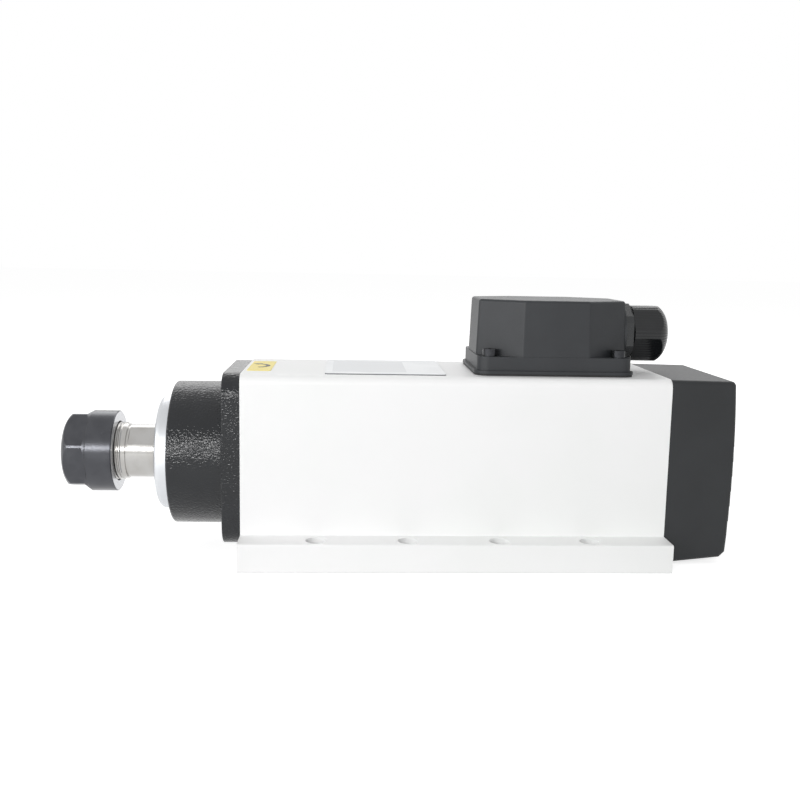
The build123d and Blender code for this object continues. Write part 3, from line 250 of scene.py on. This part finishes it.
# Kind of wave in each grain that is made of waves, and how far it wanders.
GRAIN_WAVE = {Grain.STACKED: ("BANDS", 0.2), Grain.WOUND: ("RINGS", 1.5)}


@dataclass(frozen=True)
class Finish:
    """One real material and how its surface was made.

    Attributes:
        name: common name of the material and its finish.
        colour: main sRGB colour.
        second: sRGB colour that drifts through the main one.
        metallic: share of metal in the surface.
        roughness: middle roughness.
        spread: how far the relief moves the roughness up or down.
        grain: pattern of the fine relief.
        grain_mm: width of one grain.
        depth_mm: height of the relief.
        patch_mm: size of the drifting patches of colour.
        ior: index of refraction of the part of the surface that isn't metal.
    """

    name: str
    colour: str
    second: str
    metallic: float
    roughness: float
    spread: float
    grain: Grain
    grain_mm: float
    depth_mm: float
    patch_mm: float
    ior: float = 1.5

    def lathe_place(self, tree: Tree, place: Socket) -> Socket:
        """Turn a place into the station and the radius at which a lathe would cut it.

        Args:
            tree: the material's node tree.
            place: the Object coordinates.

        Returns:
            The station in X and the distance from the spindle axis in Y.
        """
        off = add_node(tree, "ShaderNodeVectorMath", {"operation": "MULTIPLY_ADD"},
                       {1: (0, 1, 1), 2: (0, 0, -mm(AXIS_HEIGHT))}, {0: place})
        away = add_node(tree, "ShaderNodeVectorMath", {"operation": "LENGTH"},
                        links={0: off.outputs["Vector"]})
        return add_node(tree, "ShaderNodeCombineXYZ", links={
            "X": axes(tree, place)["X"], "Y": away.outputs["Value"]}).outputs["Vector"]

    def ribs(self, tree: Tree, place: Socket) -> Socket:
        """Make straight ribs along the gland, one grain apart round it.

        Args:
            tree: the material's node tree.
            place: the Object coordinates.

        Returns:
            The relief's height, from 0 to 1.
        """
        off = add_node(tree, "ShaderNodeVectorMath", {"operation": "SUBTRACT"},
                       {1: (0, 0, mm(GLAND_AXIS))}, {0: place})
        split = axes(tree, off.outputs["Vector"])
        turn = calculate(tree, "ARCTAN2", split["Y"], split["Z"])
        phase = calculate(tree, "MULTIPLY", turn, 2 * pi * GRIP_RADIUS / self.grain_mm)
        return add_node(tree, "ShaderNodeMapRange", {}, {"From Min": -1.0},
                        {"Value": calculate(tree, "SINE", phase)}).outputs[0]

    def relief(self, tree: Tree, place: Socket) -> Socket:
        """Make the fine relief.

        Args:
            tree: the material's node tree.
            place: the Object coordinates.

        Returns:
            The relief's height, from 0 to 1.
        """
        if self.grain is Grain.RIBBED:
            return self.ribs(tree, place)
        if self.grain in GRAIN_WAVE:
            kind, wander = GRAIN_WAVE[self.grain]
            return add_node(tree, "ShaderNodeTexWave",
                            {"wave_type": kind, "rings_direction": "X", "bands_direction": "X"},
                            {"Scale": WAVE_SCALE / mm(self.grain_mm), "Distortion": wander,
                             "Detail": 1.0}, {"Vector": place}).outputs["Fac"]
        if self.grain is Grain.TURNED:
            place = self.lathe_place(tree, place)
        if self.grain is Grain.DRAWN:
            place = add_node(tree, "ShaderNodeMapping", {}, {"Scale": (DRAWN_SQUEEZE, 1, 1)},
                             {"Vector": place}).outputs["Vector"]
        return noise(tree, place, self.grain_mm, GRAIN_DETAIL[self.grain])

    def tone(self, tree: Tree, place: Socket) -> Socket:
        """Make the colour, which drifts a little over the surface.

        Args:
            tree: the material's node tree.
            place: the Object coordinates.

        Returns:
            The colour.
        """
        first, last = DRIFT_SPAN
        share = add_node(tree, "ShaderNodeMapRange", {"interpolation_type": "SMOOTHSTEP"},
                         {"From Min": first, "From Max": last},
                         {"Value": noise(tree, place, self.patch_mm, DRIFT_DETAIL)})
        return mixed(tree, share.outputs[0], self.colour, self.second)

    def build(self) -> bpy.types.Material:
        """Make the Blender material.

        Returns:
            The material.
        """
        material = bpy.data.materials.new(self.name)
        tree = empty_tree(material)
        place = add_node(tree, "ShaderNodeTexCoord").outputs["Object"]
        height = self.relief(tree, place)
        low, high = ROUGHNESS_SPAN
        rough = add_node(tree, "ShaderNodeMapRange", {},
                         {"From Min": low, "From Max": high,
                          "To Min": self.roughness - self.spread,
                          "To Max": self.roughness + self.spread}, {"Value": height})
        bump = add_node(tree, "ShaderNodeBump", {},
                        {"Strength": 1.0, "Distance": mm(self.depth_mm)}, {"Height": height})
        shader = add_node(tree, "ShaderNodeBsdfPrincipled", {},
                          {"Metallic": self.metallic, "IOR": self.ior},
                          {"Base Color": self.tone(tree, place), "Roughness": rough.outputs[0],
                           "Normal": bump.outputs[0]})
        add_node(tree, "ShaderNodeOutputMaterial", links={"Surface": shader.outputs[0]})
        return material


@dataclass(frozen=True)
class PlateFoil(Finish):
    """Brushed foil of the rating plate, with a duller plain field left for the buyer's own data.

    Attributes:
        field_x: first and last station of the plain field.
        field_half_width: half of the field's width.
        field_colour: sRGB colour of the field.
        top: height of the plate's face.
        shade_line_depth: how far under the face the painted shade on the plate's sides begins.
        shade_line_colour: sRGB colour of that painted shade, a shadow line under the plate's edge.
    """

    field_x: tuple[float, float] = (37.0, 68.0)
    field_half_width: float = 20.0
    field_colour: str = "#C9CBCD"
    top: float = 78.7
    # Painted shade: the plate's sides, from this depth under the face, are darkened to stand in for
    # the shadow line under its edge.
    shade_line_depth: float = 0.03
    shade_line_colour: str = "#5E6063"

    def tone(self, tree: Tree, place: Socket) -> Socket:
        """Make the foil's colour with the plain field and the painted shade on its sides in it.

        Args:
            tree: the material's node tree.
            place: the Object coordinates.

        Returns:
            The colour.
        """
        split = axes(tree, place)
        middle = sum(at_x(x) for x in self.field_x) / 2
        half = mm(self.field_x[1] - self.field_x[0]) / 2
        inside = calculate(tree, "MULTIPLY", calculate(tree, "COMPARE", split["X"], middle, half),
                           calculate(tree, "COMPARE", split["Y"], 0.0, mm(self.field_half_width)))
        face = mixed(tree, inside, super().tone(tree, place), self.field_colour)
        # Painted shade: points below the face, on the plate's sides, get the dark colour of a
        # shadow line.
        painted_side_shade = calculate(tree, "LESS_THAN", split["Z"], mm(self.top - self.shade_line_depth))
        return mixed(tree, painted_side_shade, face, self.shade_line_colour)


@dataclass(frozen=True)
class GroundEnd(Finish):
    """Dark finish with the rear end face ground back to bright metal.

    Attributes:
        face: station of the ground face.
        skin: how far in front of the face the bright metal still shows.
        bright: sRGB colour of the bare metal.
    """

    face: float = -55.2
    skin: float = 0.04
    bright: str = "#C4C5C8"

    def tone(self, tree: Tree, place: Socket) -> Socket:
        """Make the dark colour with the bright end face.

        Args:
            tree: the material's node tree.
            place: the Object coordinates.

        Returns:
            The colour.
        """
        behind = calculate(tree, "GREATER_THAN", axes(tree, place)["X"],
                           at_x(self.face - self.skin))
        return mixed(tree, behind, super().tone(tree, place), self.bright)


# Powder coat over extruded aluminium: soft satin white whose highlight spreads wide, with the
# faintest orange peel.
POWDER_COAT = Finish(
    "satin_white_powder_coat", "#F8F8F8", "#F5F6F5", metallic=0.0, roughness=0.42, spread=0.05,
    grain=Grain.BLASTED, grain_mm=0.9, depth_mm=0.006, patch_mm=60.0, ior=1.45)
# Stoving enamel over a cast flange: wet gloss broken into sparks by lumps under 1 mm wide.
HAMMERED_ENAMEL = Finish(
    "hammered_black_enamel", "#121519", "#171A1E", metallic=0.0, roughness=0.1, spread=0.04,
    grain=Grain.HAMMERED, grain_mm=0.8, depth_mm=0.28, patch_mm=8.0, ior=1.46)
# Oiled black oxide on steel: dark grey metal sheen, softened by an even blasted skin, with the
# bright line of a ground end face.
BLACK_OXIDE = GroundEnd(
    "oiled_black_oxide_steel", "#4E4F53", "#47484C", metallic=0.75, roughness=0.24, spread=0.05,
    grain=Grain.BLASTED, grain_mm=0.5, depth_mm=0.028, patch_mm=6.0)
# Black zinc on small screws: darker and glossier than the oxide.
BLACK_SCREW = Finish(
    "black_zinc_steel", "#3C3D40", "#313235", metallic=0.8, roughness=0.2, spread=0.06,
    grain=Grain.MOULDED, grain_mm=0.4, depth_mm=0.008, patch_mm=3.0)
# Cylindrically ground steel: a sharp bright band with hair-fine rings.
GROUND_STEEL = Finish(
    "ground_steel", "#B3B2B0", "#AAA8A5", metallic=1.0, roughness=0.2, spread=0.05,
    grain=Grain.TURNED, grain_mm=0.12, depth_mm=0.002, patch_mm=9.0)
# Turned aluminium: paler and softer than steel, with visible lathe lines.
TURNED_ALUMINIUM = Finish(
    "turned_aluminium", "#D3D5D8", "#CBCDD0", metallic=1.0, roughness=0.38, spread=0.06,
    grain=Grain.TURNED, grain_mm=0.3, depth_mm=0.004, patch_mm=14.0)
# Hardened collet steel: even grey lustre of a ground cone.
COLLET_STEEL = Finish(
    "hardened_collet_steel", "#B9BABC", "#A9AAAD", metallic=1.0, roughness=0.24, spread=0.05,
    grain=Grain.TURNED, grain_mm=0.15, depth_mm=0.003, patch_mm=6.0)
# Polished bearing steel: near-mirror rings and balls.
BEARING_STEEL = Finish(
    "polished_bearing_steel", "#CFD0D3", "#C3C4C8", metallic=1.0, roughness=0.1, spread=0.03,
    grain=Grain.TURNED, grain_mm=0.1, depth_mm=0.001, patch_mm=8.0)
# Cotton-filled resin of the ball cages: dull warm brown.
CAGE_RESIN = Finish(
    "cotton_filled_resin", "#7A5232", "#694428", metallic=0.0, roughness=0.5, spread=0.08,
    grain=Grain.MOULDED, grain_mm=0.4, depth_mm=0.02, patch_mm=3.0, ior=1.56)
# Turned carbon steel of the bearing retainer: mid grey metal with clear tool rings.
TURNED_STEEL = Finish(
    "turned_carbon_steel", "#97979A", "#88888B", metallic=1.0, roughness=0.32, spread=0.08,
    grain=Grain.TURNED, grain_mm=0.3, depth_mm=0.006, patch_mm=8.0)
# Blued spring steel: cool dark grey, with lines left by the drawing.
SPRING_STEEL = Finish(
    "blued_spring_steel", "#6D7078", "#5C5F69", metallic=1.0, roughness=0.3, spread=0.06,
    grain=Grain.DRAWN, grain_mm=0.2, depth_mm=0.003, patch_mm=6.0)
# Silicon steel sheets pressed into a stack: thin edges side by side.
SHEET_STACK = Finish(
    "stacked_silicon_steel", "#77797C", "#66686B", metallic=0.9, roughness=0.42, spread=0.08,
    grain=Grain.STACKED, grain_mm=1.0, depth_mm=0.05, patch_mm=10.0)
# Die-cast aluminium: pale grey with soft flow marks.
CAST_ALUMINIUM = Finish(
    "die_cast_aluminium", "#B4B6B8", "#A4A6A8", metallic=0.9, roughness=0.45, spread=0.08,
    grain=Grain.MOULDED, grain_mm=1.2, depth_mm=0.03, patch_mm=15.0)
# Enamelled copper wire in varnish: glossy red brown strands.
COPPER_WIRE = Finish(
    "enamelled_copper_wire", "#A3542A", "#8A3F1E", metallic=0.6, roughness=0.28, spread=0.08,
    grain=Grain.WOUND, grain_mm=1.4, depth_mm=0.12, patch_mm=5.0)
# Glass-filled nylon of the fan: dull black with a dry skin.
FAN_NYLON = Finish(
    "glass_filled_nylon", "#26272A", "#2E2F32", metallic=0.0, roughness=0.5, spread=0.08,
    grain=Grain.MOULDED, grain_mm=0.5, depth_mm=0.02, patch_mm=8.0, ior=1.53)
# ABS moulded in a spark-eroded tool: dark grey black between satin and matt, with a fine grain.
MOULDED_ABS = Finish(
    "grained_black_abs", "#27292C", "#2C2E31", metallic=0.0, roughness=0.45, spread=0.07,
    grain=Grain.MOULDED, grain_mm=0.35, depth_mm=0.014, patch_mm=18.0, ior=1.43)
# The same ABS from the hood's tool: a shade darker and drier.
HOOD_ABS = Finish(
    "grained_hood_abs", "#1E2022", "#232527", metallic=0.0, roughness=0.5, spread=0.06,
    grain=Grain.MOULDED, grain_mm=0.4, depth_mm=0.02, patch_mm=24.0, ior=1.42)
# Nitrile rubber: black without gloss.
NITRILE = Finish(
    "nitrile_rubber", "#1C1C1D", "#252526", metallic=0.0, roughness=0.7, spread=0.08,
    grain=Grain.MOULDED, grain_mm=0.6, depth_mm=0.02, patch_mm=6.0, ior=1.52)
# Polyamide of the gland nut: deep black and glossy, with moulded grip ribs.
RIBBED_NYLON = Finish(
    "ribbed_black_polyamide", "#0E1012", "#131517", metallic=0.0, roughness=0.2, spread=0.05,
    grain=Grain.RIBBED, grain_mm=1.25, depth_mm=0.08, patch_mm=6.0, ior=1.46)
# Plain polyamide of the gland body: smooth black with a soft gloss.
GLAND_NYLON = Finish(
    "black_polyamide", "#1B1D1F", "#222426", metallic=0.0, roughness=0.26, spread=0.05,
    grain=Grain.MOULDED, grain_mm=0.5, depth_mm=0.01, patch_mm=6.0, ior=1.53)
# Thermoset resin of the terminal block: opaque ivory with a satin skin.
BLOCK_RESIN = Finish(
    "ivory_terminal_resin", "#D6D2C4", "#CBC6B6", metallic=0.0, roughness=0.45, spread=0.06,
    grain=Grain.MOULDED, grain_mm=0.5, depth_mm=0.01, patch_mm=6.0, ior=1.55)
# Brass of the terminal screws: warm yellow metal with a bright gloss.
BRASS = Finish(
    "terminal_brass", "#D2B26B", "#C4A35B", metallic=1.0, roughness=0.22, spread=0.05,
    grain=Grain.DRAWN, grain_mm=0.2, depth_mm=0.003, patch_mm=4.0)
# Brushed aluminium foil of the rating plate: pale silver, its gloss drawn out along X.
FOIL = PlateFoil(
    "brushed_label_foil", "#DCDEDF", "#D4D6D8", metallic=0.35, roughness=0.34, spread=0.05,
    grain=Grain.DRAWN, grain_mm=0.25, depth_mm=0.002, patch_mm=20.0)
# Yellow vinyl film: clean, slightly glossy.
YELLOW_FILM = Finish(
    "yellow_vinyl_film", "#F5DE2E", "#F0D825", metallic=0.0, roughness=0.3, spread=0.04,
    grain=Grain.MOULDED, grain_mm=0.8, depth_mm=0.004, patch_mm=10.0, ior=1.49)
# Screen-printing ink on the film: flat black.
BLACK_INK = Finish(
    "black_screen_ink", "#242321", "#2B2A28", metallic=0.0, roughness=0.5, spread=0.04,
    grain=Grain.MOULDED, grain_mm=0.5, depth_mm=0.002, patch_mm=4.0)


class Paintbox:
    """Keeps each finish's material, so that it is made once."""

    def __init__(self) -> None:
        """Start with no materials."""
        self.made: dict[str, bpy.types.Material] = {}

    def material(self, finish: Finish) -> bpy.types.Material:
        """Give the material of a finish.

        Args:
            finish: the finish.

        Returns:
            Its material, made at the first call.
        """
        if finish.name not in self.made:
            self.made[finish.name] = finish.build()
        return self.made[finish.name]

    def dress(self, piece: bpy.types.Object, finish: Finish) -> None:
        """Put a finish on a whole piece.

        Args:
            piece: a mesh object.
            finish: the finish.
        """
        material = self.material(finish)
        if piece.data.materials:
            for number in range(len(piece.data.materials)):
                piece.data.materials[number] = material
        else:
            piece.data.materials.append(material)


@dataclass
class SubAssembly:
    """A group of pieces that are built and dressed together.

    Attributes:
        paint: the shared materials.
        finishes: the finish of each CAD node of the group.
    """

    paint: Paintbox
    finishes: dict[str, Finish] = field(default_factory=dict)

    def dress(self) -> None:
        """Dress the group's CAD nodes."""
        for name, finish in self.finishes.items():
            self.paint.dress(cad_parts[name], finish)
            LOG.info("dressed %s in %s", name, finish.name)

    def build(self) -> None:
        """Add the group's new pieces; a group without any adds none."""

    def finish_piece(self, name: str, mesh: bmesh.types.BMesh, body: str, slot: str,
                     finish: Finish, smooth: bool) -> None:
        """Turn a bmesh into a dressed piece that rides on a body.

        Args:
            name: the piece's name.
            mesh: its shape, in metres and in place; it is freed here.
            body: the CAD body that it moves with.
            slot: the record's material slot; it is not used.
            finish: its finish.
            smooth: whether its faces shade smoothly.
        """
        bmesh.ops.recalc_face_normals(mesh, faces=mesh.faces[:])
        for face in mesh.faces:
            face.smooth = smooth
        piece = mesh_object(name, mesh)
        self.paint.dress(piece, finish)
        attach(piece, body)
        LOG.info("built %s with %d faces", name, len(piece.data.polygons))


def spin_section(mesh: bmesh.types.BMesh, points: list[tuple[float, float]], steps: int,
                 turns: int = 1, pitch: float = 0.0) -> None:
    """Spin a closed section round the spindle axis, into a ring or into a helix.

    Args:
        mesh: the bmesh that gets the shape, in metres and in place.
        points: stations and radii of the section, in millimetres.
        steps: number of steps in one turn.
        turns: number of turns.
        pitch: advance in one turn, in millimetres; a helix also gets end faces.
    """
    verts = [mesh.verts.new((at_x(x), 0, mm(AXIS_HEIGHT + r))) for x, r in points]
    if pitch:
        geometry = [mesh.faces.new(verts)]
    else:
        geometry = verts + [mesh.edges.new(pair) for pair in zip(verts, verts[1:] + verts[:1])]
    bmesh.ops.spin(mesh, geom=geometry, cent=(0, 0, mm(AXIS_HEIGHT)), axis=(1, 0, 0),
                   dvec=(mm(pitch / steps), 0, 0), angle=2 * pi * turns, steps=steps * turns,
                   use_merge=not pitch)
    bmesh.ops.remove_doubles(mesh, verts=mesh.verts[:], dist=mm(WELD))


@dataclass
class Housing(SubAssembly):
    """Footed extrusion that carries everything."""

    finishes: dict[str, Finish] = field(default_factory=lambda: {"body_extrusion": POWDER_COAT})


@dataclass
class FrontFlange(SubAssembly):
    """Enamelled flange with its screws.

    Attributes:
        plate: station of the plate's front face.
        root_r: radius of the boss where it meets the plate.
        bead: radius of the bead of enamel in the corner.
        bead_steps: steps of the bead's quarter round.
        boss_sink: how far the bead reaches into the boss.
        plate_sink: how far it reaches into the plate.
        steps: steps of a full turn.
    """

    plate: float = -7.6
    root_r: float = 30.9
    bead: float = 0.55
    bead_steps: int = 4
    boss_sink: float = 0.3
    plate_sink: float = 0.2
    steps: int = 144
    finishes: dict[str, Finish] = field(default_factory=lambda: {
        "front_flange": HAMMERED_ENAMEL, "front_flange_screws": BLACK_SCREW,
        "bearing_retainer": TURNED_STEEL})

    def build(self) -> None:
        """Add the run of enamel that fills the corner between boss and plate."""
        angles = [radians(90 * step / self.bead_steps) for step in range(self.bead_steps + 1)]
        front, rear = self.plate - self.bead, self.plate + self.plate_sink
        outer, inner = self.root_r + self.bead, self.root_r - self.boss_sink
        arc = [(front + self.bead * sin(a), outer - self.bead * cos(a)) for a in angles]
        mesh = bmesh.new()
        spin_section(mesh, [(front, inner), *arc, (rear, outer), (rear, inner)], self.steps)
        self.finish_piece("enamel_run", mesh, "housing", "black_hammered_paint",
                          HAMMERED_ENAMEL, True)


@dataclass
class SpindleNose(SubAssembly):
    """Shaft, dust ring, collet and nut.

    Attributes:
        thread_start: station where the thread begins, near the shaft's front end.
        thread_end: station where it runs out.
        core_r: radius under the thread.
        crest_r: radius over the thread.
        root_sink: how far the ridge reaches into the shaft.
        pitch: thread pitch.
        root_share: share of the pitch that the ridge's root takes.
        crest_share: share of the pitch that its flat crest takes.
        steps: steps of one turn.
    """

    thread_start: float = -69.2
    thread_end: float = -51.1
    core_r: float = 11.9
    crest_r: float = 12.5
    root_sink: float = 0.4
    pitch: float = 1.5
    root_share: float = 0.86
    crest_share: float = 0.18
    steps: int = 72
    finishes: dict[str, Finish] = field(default_factory=lambda: {
        "spindle_shaft": GROUND_STEEL, "dust_ring": TURNED_ALUMINIUM, "collet": COLLET_STEEL,
        "collet_nut": BLACK_OXIDE})

    def build(self) -> None:
        """Add the ridge of the nose thread, swept as a helix with flattened crests."""
        turns = int((self.thread_end - self.thread_start) / self.pitch) - 1
        half = self.pitch / 2
        root, crest = half * self.root_share, half * self.crest_share
        start = self.thread_start + half
        section = [(start - root, self.core_r), (start - crest, self.crest_r),
                   (start + crest, self.crest_r), (start + root, self.core_r),
                   (start, self.core_r - self.root_sink)]
        mesh = bmesh.new()
        spin_section(mesh, section, self.steps, turns, self.pitch)
        self.finish_piece("nose_thread", mesh, "spindle", "ground_steel", GROUND_STEEL, False)


@dataclass
class Bearings(SubAssembly):
    """Front pair and rear bearing with the preload spring."""

    finishes: dict[str, Finish] = field(default_factory=lambda: {
        "front_bearing_outer_rings": BEARING_STEEL, "front_bearing_inner_rings": BEARING_STEEL,
        "front_bearing_balls": BEARING_STEEL, "front_bearing_cages": CAGE_RESIN,
        "rear_bearing_outer_ring": BEARING_STEEL, "rear_bearing_inner_ring": BEARING_STEEL,
        "rear_bearing_balls": BEARING_STEEL, "rear_bearing_cage": CAGE_RESIN,
        "wave_spring": SPRING_STEEL})


@dataclass
class Motor(SubAssembly):
    """Rotor and stator."""

    finishes: dict[str, Finish] = field(default_factory=lambda: {
        "rotor_core": SHEET_STACK, "stator_core": SHEET_STACK,
        "rotor_end_rings": CAST_ALUMINIUM, "stator_windings": COPPER_WIRE})


@dataclass
class RearEnd(SubAssembly):
    """End plate, fan and hood."""

    finishes: dict[str, Finish] = field(default_factory=lambda: {
        "rear_end_plate": CAST_ALUMINIUM, "end_plate_screws": BLACK_SCREW,
        "cooling_fan": FAN_NYLON, "fan_circlip": SPRING_STEEL, "fan_cover": HOOD_ABS,
        "fan_cover_screws": BLACK_SCREW})


@dataclass
class TerminalBox(SubAssembly):
    """Moulded box on the housing's top, with its block of terminals."""

    finishes: dict[str, Finish] = field(default_factory=lambda: {
        "terminal_box_gasket": NITRILE, "terminal_box_base": MOULDED_ABS,
        "terminal_box_lid": MOULDED_ABS, "terminal_box_screws": BLACK_SCREW,
        "terminal_block": BLOCK_RESIN, "terminal_screws": BRASS})


@dataclass
class CableGland(SubAssembly):
    """Cable gland in the end wall of the terminal box."""

    finishes: dict[str, Finish] = field(default_factory=lambda: {
        "gland_body": GLAND_NYLON, "gland_locknut": GLAND_NYLON, "gland_seal": NITRILE,
        "gland_dome_nut": RIBBED_NYLON})


@dataclass
class Labels(SubAssembly):
    """Bare rating plate and the sticker that shows which way the shaft turns.

    Attributes:
        centre: station of the arrow's centre.
        top: height of the sticker's face.
        radius: middle radius of the arrow's arc.
        setback: how far in front of the arrow's centre the arc's centre lies, in radii.
        width: width of the arc.
        sweep: angle of the arc in degrees.
        steps: steps of the arc.
        head: length of the arrow's head.
        head_flare: half the head's width, in widths of the arc.
        ink: thickness of the ink.
    """

    centre: float = 6.4
    top: float = 78.45
    radius: float = 6.5
    setback: float = 0.6
    width: float = 1.8
    sweep: float = 130.0
    steps: int = 18
    head: float = 3.6
    head_flare: float = 1.2
    ink: float = 0.03
    finishes: dict[str, Finish] = field(default_factory=lambda: {
        "rating_plate": FOIL, "rotation_sticker": YELLOW_FILM})

    def arrow_point(self, angle: float, out: float, ahead: float = 0.0) -> Vector:
        """Give a point of the arrow.

        Args:
            angle: turn of the point along the arc from its middle, in degrees.
            out: distance from the arc's centre, in millimetres.
            ahead: distance in the arrow's own direction, in millimetres.

        Returns:
            The point on the sticker's face, in metres.
        """
        centre = Vector((at_x(self.centre) - mm(self.radius) * self.setback, 0, mm(self.top)))
        return centre + Matrix.Rotation(radians(angle), 3, "Z") @ Vector((mm(out), mm(ahead), 0))

    def build(self) -> None:
        """Print a curved arrow in the middle of the sticker."""
        mesh = bmesh.new()
        end, flare = self.sweep / 2, self.width * self.head_flare
        edge = mesh.edges.new([mesh.verts.new(self.arrow_point(-end, self.radius + off))
                               for off in (-self.width / 2, self.width / 2)])
        bmesh.ops.spin(mesh, geom=list(edge.verts) + [edge], cent=self.arrow_point(0, 0),
                       axis=(0, 0, 1), angle=radians(self.sweep), steps=self.steps,
                       use_merge=False)
        mesh.faces.new([mesh.verts.new(self.arrow_point(end, self.radius + off, ahead))
                        for off, ahead in ((-flare, 0.0), (flare, 0.0), (0.0, self.head))])
        raised = bmesh.ops.extrude_face_region(mesh, geom=mesh.faces[:])
        verts = [v for v in raised["geom"] if isinstance(v, bmesh.types.BMVert)]
        bmesh.ops.translate(mesh, verts=verts, vec=(0, 0, mm(self.ink)))
        self.finish_piece("rotation_arrow", mesh, "housing", "yellow_film", BLACK_INK, False)


@dataclass(frozen=True)
class Lamp:
    """Soft rectangular lamp.

    Attributes:
        name: its name.
        place: where it hangs.
        aim: the point that it faces.
        width: its width.
        height: its height.
        power: its power in watts.
        mirrored: whether gloss mirrors it.
    """

    name: str
    place: Point
    aim: Point
    width: float
    height: float
    power: float
    mirrored: bool = True

    def hang(self) -> None:
        """Add the lamp to the scene."""
        data = bpy.data.lights.new(self.name, "AREA")
        data.shape = "RECTANGLE"
        data.size = self.width
        data.size_y = self.height
        data.energy = self.power
        lamp = bpy.data.objects.new(self.name, data)
        lamp.location = self.place
        lamp.visible_glossy = self.mirrored
        ahead = Vector(self.aim) - Vector(self.place)
        lamp.rotation_euler = ahead.to_track_quat("-Z", "Y").to_euler()
        bpy.context.scene.collection.objects.link(lamp)


def seen_rays(tree: Tree) -> Socket:
    """Tell the rays that see the background apart from those that light the object.

    Args:
        tree: a node tree.

    Returns:
        1 for camera, glossy and transmission rays and 0 for the others.
    """
    path = add_node(tree, "ShaderNodeLightPath").outputs
    direct = calculate(tree, "MAXIMUM", path["Is Camera Ray"], path["Is Glossy Ray"])
    return calculate(tree, "MAXIMUM", direct, path["Is Transmission Ray"])


@dataclass
class Studio:
    """Plain pale floor, soft lamps and the camera.

    Attributes:
        floor_size: side of the square floor.
        paper: sRGB colour of the floor.
        floor_glow: light that the floor shows by itself.
        world_level: strength of the world on the object.
        lamps: the soft lamps.
        eye: the camera's place in millimetres.
        yaw: turn of the camera about the upright, in degrees.
        pitch: how far it looks down, in degrees.
        roll: turn about its own axis, in degrees.
        lens: focal length in millimetres.
        sensor: width of the sensor in millimetres.
        near: distance at which the camera begins to see.
    """

    floor_size: float = 12.0
    paper: str = "#E6E6E6"
    floor_glow: float = 0.72
    world_level: float = 0.34
    lamps: tuple[Lamp, ...] = (
        Lamp("front_box", place=(-0.4, -1.0, 0.36), aim=(-0.05, 0, 0.04),
             width=0.9, height=0.11, power=5.5),
        Lamp("left_box", place=(-1.05, -0.55, 0.3), aim=(-0.05, 0, 0.06),
             width=1.1, height=0.5, power=3.8),
        Lamp("top_box", place=(-0.1, -0.1, 1.2), aim=(0, 0, 0.04),
             width=1.2, height=1.0, power=1.8, mirrored=False),
        Lamp("rear_box", place=(0.1, 1.1, 0.85), aim=(0, 0, 0.05),
             width=1.6, height=0.7, power=5.2))
    eye: Point = (-44.40, -420.61, 127.01)
    yaw: float = 3.182
    pitch: float = 8.504
    roll: float = -1.133
    lens: float = 43.64
    sensor: float = 36.0
    near: float = 0.01

    def world(self) -> None:
        """Make the world: white where it is seen, softer where it lights."""
        world = bpy.data.worlds.new("studio_world")
        bpy.context.scene.world = world
        tree = empty_tree(world)
        seen = add_node(tree, "ShaderNodeBackground", {}, {"Color": WHITE, "Strength": 1.0})
        lit = add_node(tree, "ShaderNodeBackground", {},
                       {"Color": WHITE, "Strength": self.world_level})
        both = add_node(tree, "ShaderNodeMixShader", links={
            0: seen_rays(tree), 1: lit.outputs[0], 2: seen.outputs[0]})
        add_node(tree, "ShaderNodeOutputWorld", links={"Surface": both.outputs[0]})

    def floor(self) -> None:
        """Lay the floor, which stays white to the eye and keeps the object's shadow."""
        mesh = bmesh.new()
        bmesh.ops.create_grid(mesh, x_segments=1, y_segments=1, size=self.floor_size / 2)
        floor = mesh_object("studio_floor", mesh)
        material = bpy.data.materials.new("white_paper_sweep")
        tree = empty_tree(material)
        paper = add_node(tree, "ShaderNodeBsdfDiffuse", {}, {"Color": linear(self.paper)})
        glow = add_node(tree, "ShaderNodeEmission", {}, {"Strength": self.floor_glow})
        lit = add_node(tree, "ShaderNodeAddShader", links={0: paper.outputs[0], 1: glow.outputs[0]})
        both = add_node(tree, "ShaderNodeMixShader", links={
            0: seen_rays(tree), 1: paper.outputs[0], 2: lit.outputs[0]})
        add_node(tree, "ShaderNodeOutputMaterial", links={"Surface": both.outputs[0]})
        floor.data.materials.append(material)

    def camera(self) -> None:
        """Set up the camera."""
        yaw, pitch, roll = radians(self.yaw), radians(self.pitch), radians(self.roll)
        ahead = Vector((sin(yaw) * cos(pitch), cos(yaw) * cos(pitch), -sin(pitch)))
        level = Vector((cos(yaw), -sin(yaw), 0))
        down = ahead.cross(level)
        right = cos(roll) * level + sin(roll) * down
        low = cos(roll) * down - sin(roll) * level
        data = bpy.data.cameras.new("camera")
        data.sensor_width = self.sensor
        data.lens = self.lens
        data.clip_start = self.near
        camera = bpy.data.objects.new("camera", data)
        turn = Matrix((right, -low, -ahead)).transposed().to_4x4()
        camera.matrix_world = Matrix.Translation([mm(c) for c in self.eye]) @ turn
        bpy.context.scene.collection.objects.link(camera)
        bpy.context.scene.camera = camera

    def build(self) -> None:
        """Make the whole studio."""
        self.world()
        self.floor()
        for lamp in self.lamps:
            lamp.hang()
        self.camera()
        bpy.context.scene.view_settings.view_transform = "Standard"


def main() -> None:
    """Build and dress every sub-assembly, then the studio."""
    logging.basicConfig(level=logging.INFO, format="%(message)s")
    paint = Paintbox()
    for group in (Housing(paint), FrontFlange(paint), SpindleNose(paint), Bearings(paint),
                  Motor(paint), RearEnd(paint), TerminalBox(paint), CableGland(paint),
                  Labels(paint)):
        group.dress()
        group.build()
    Studio().build()


if __name__ == "__main__":
    main()
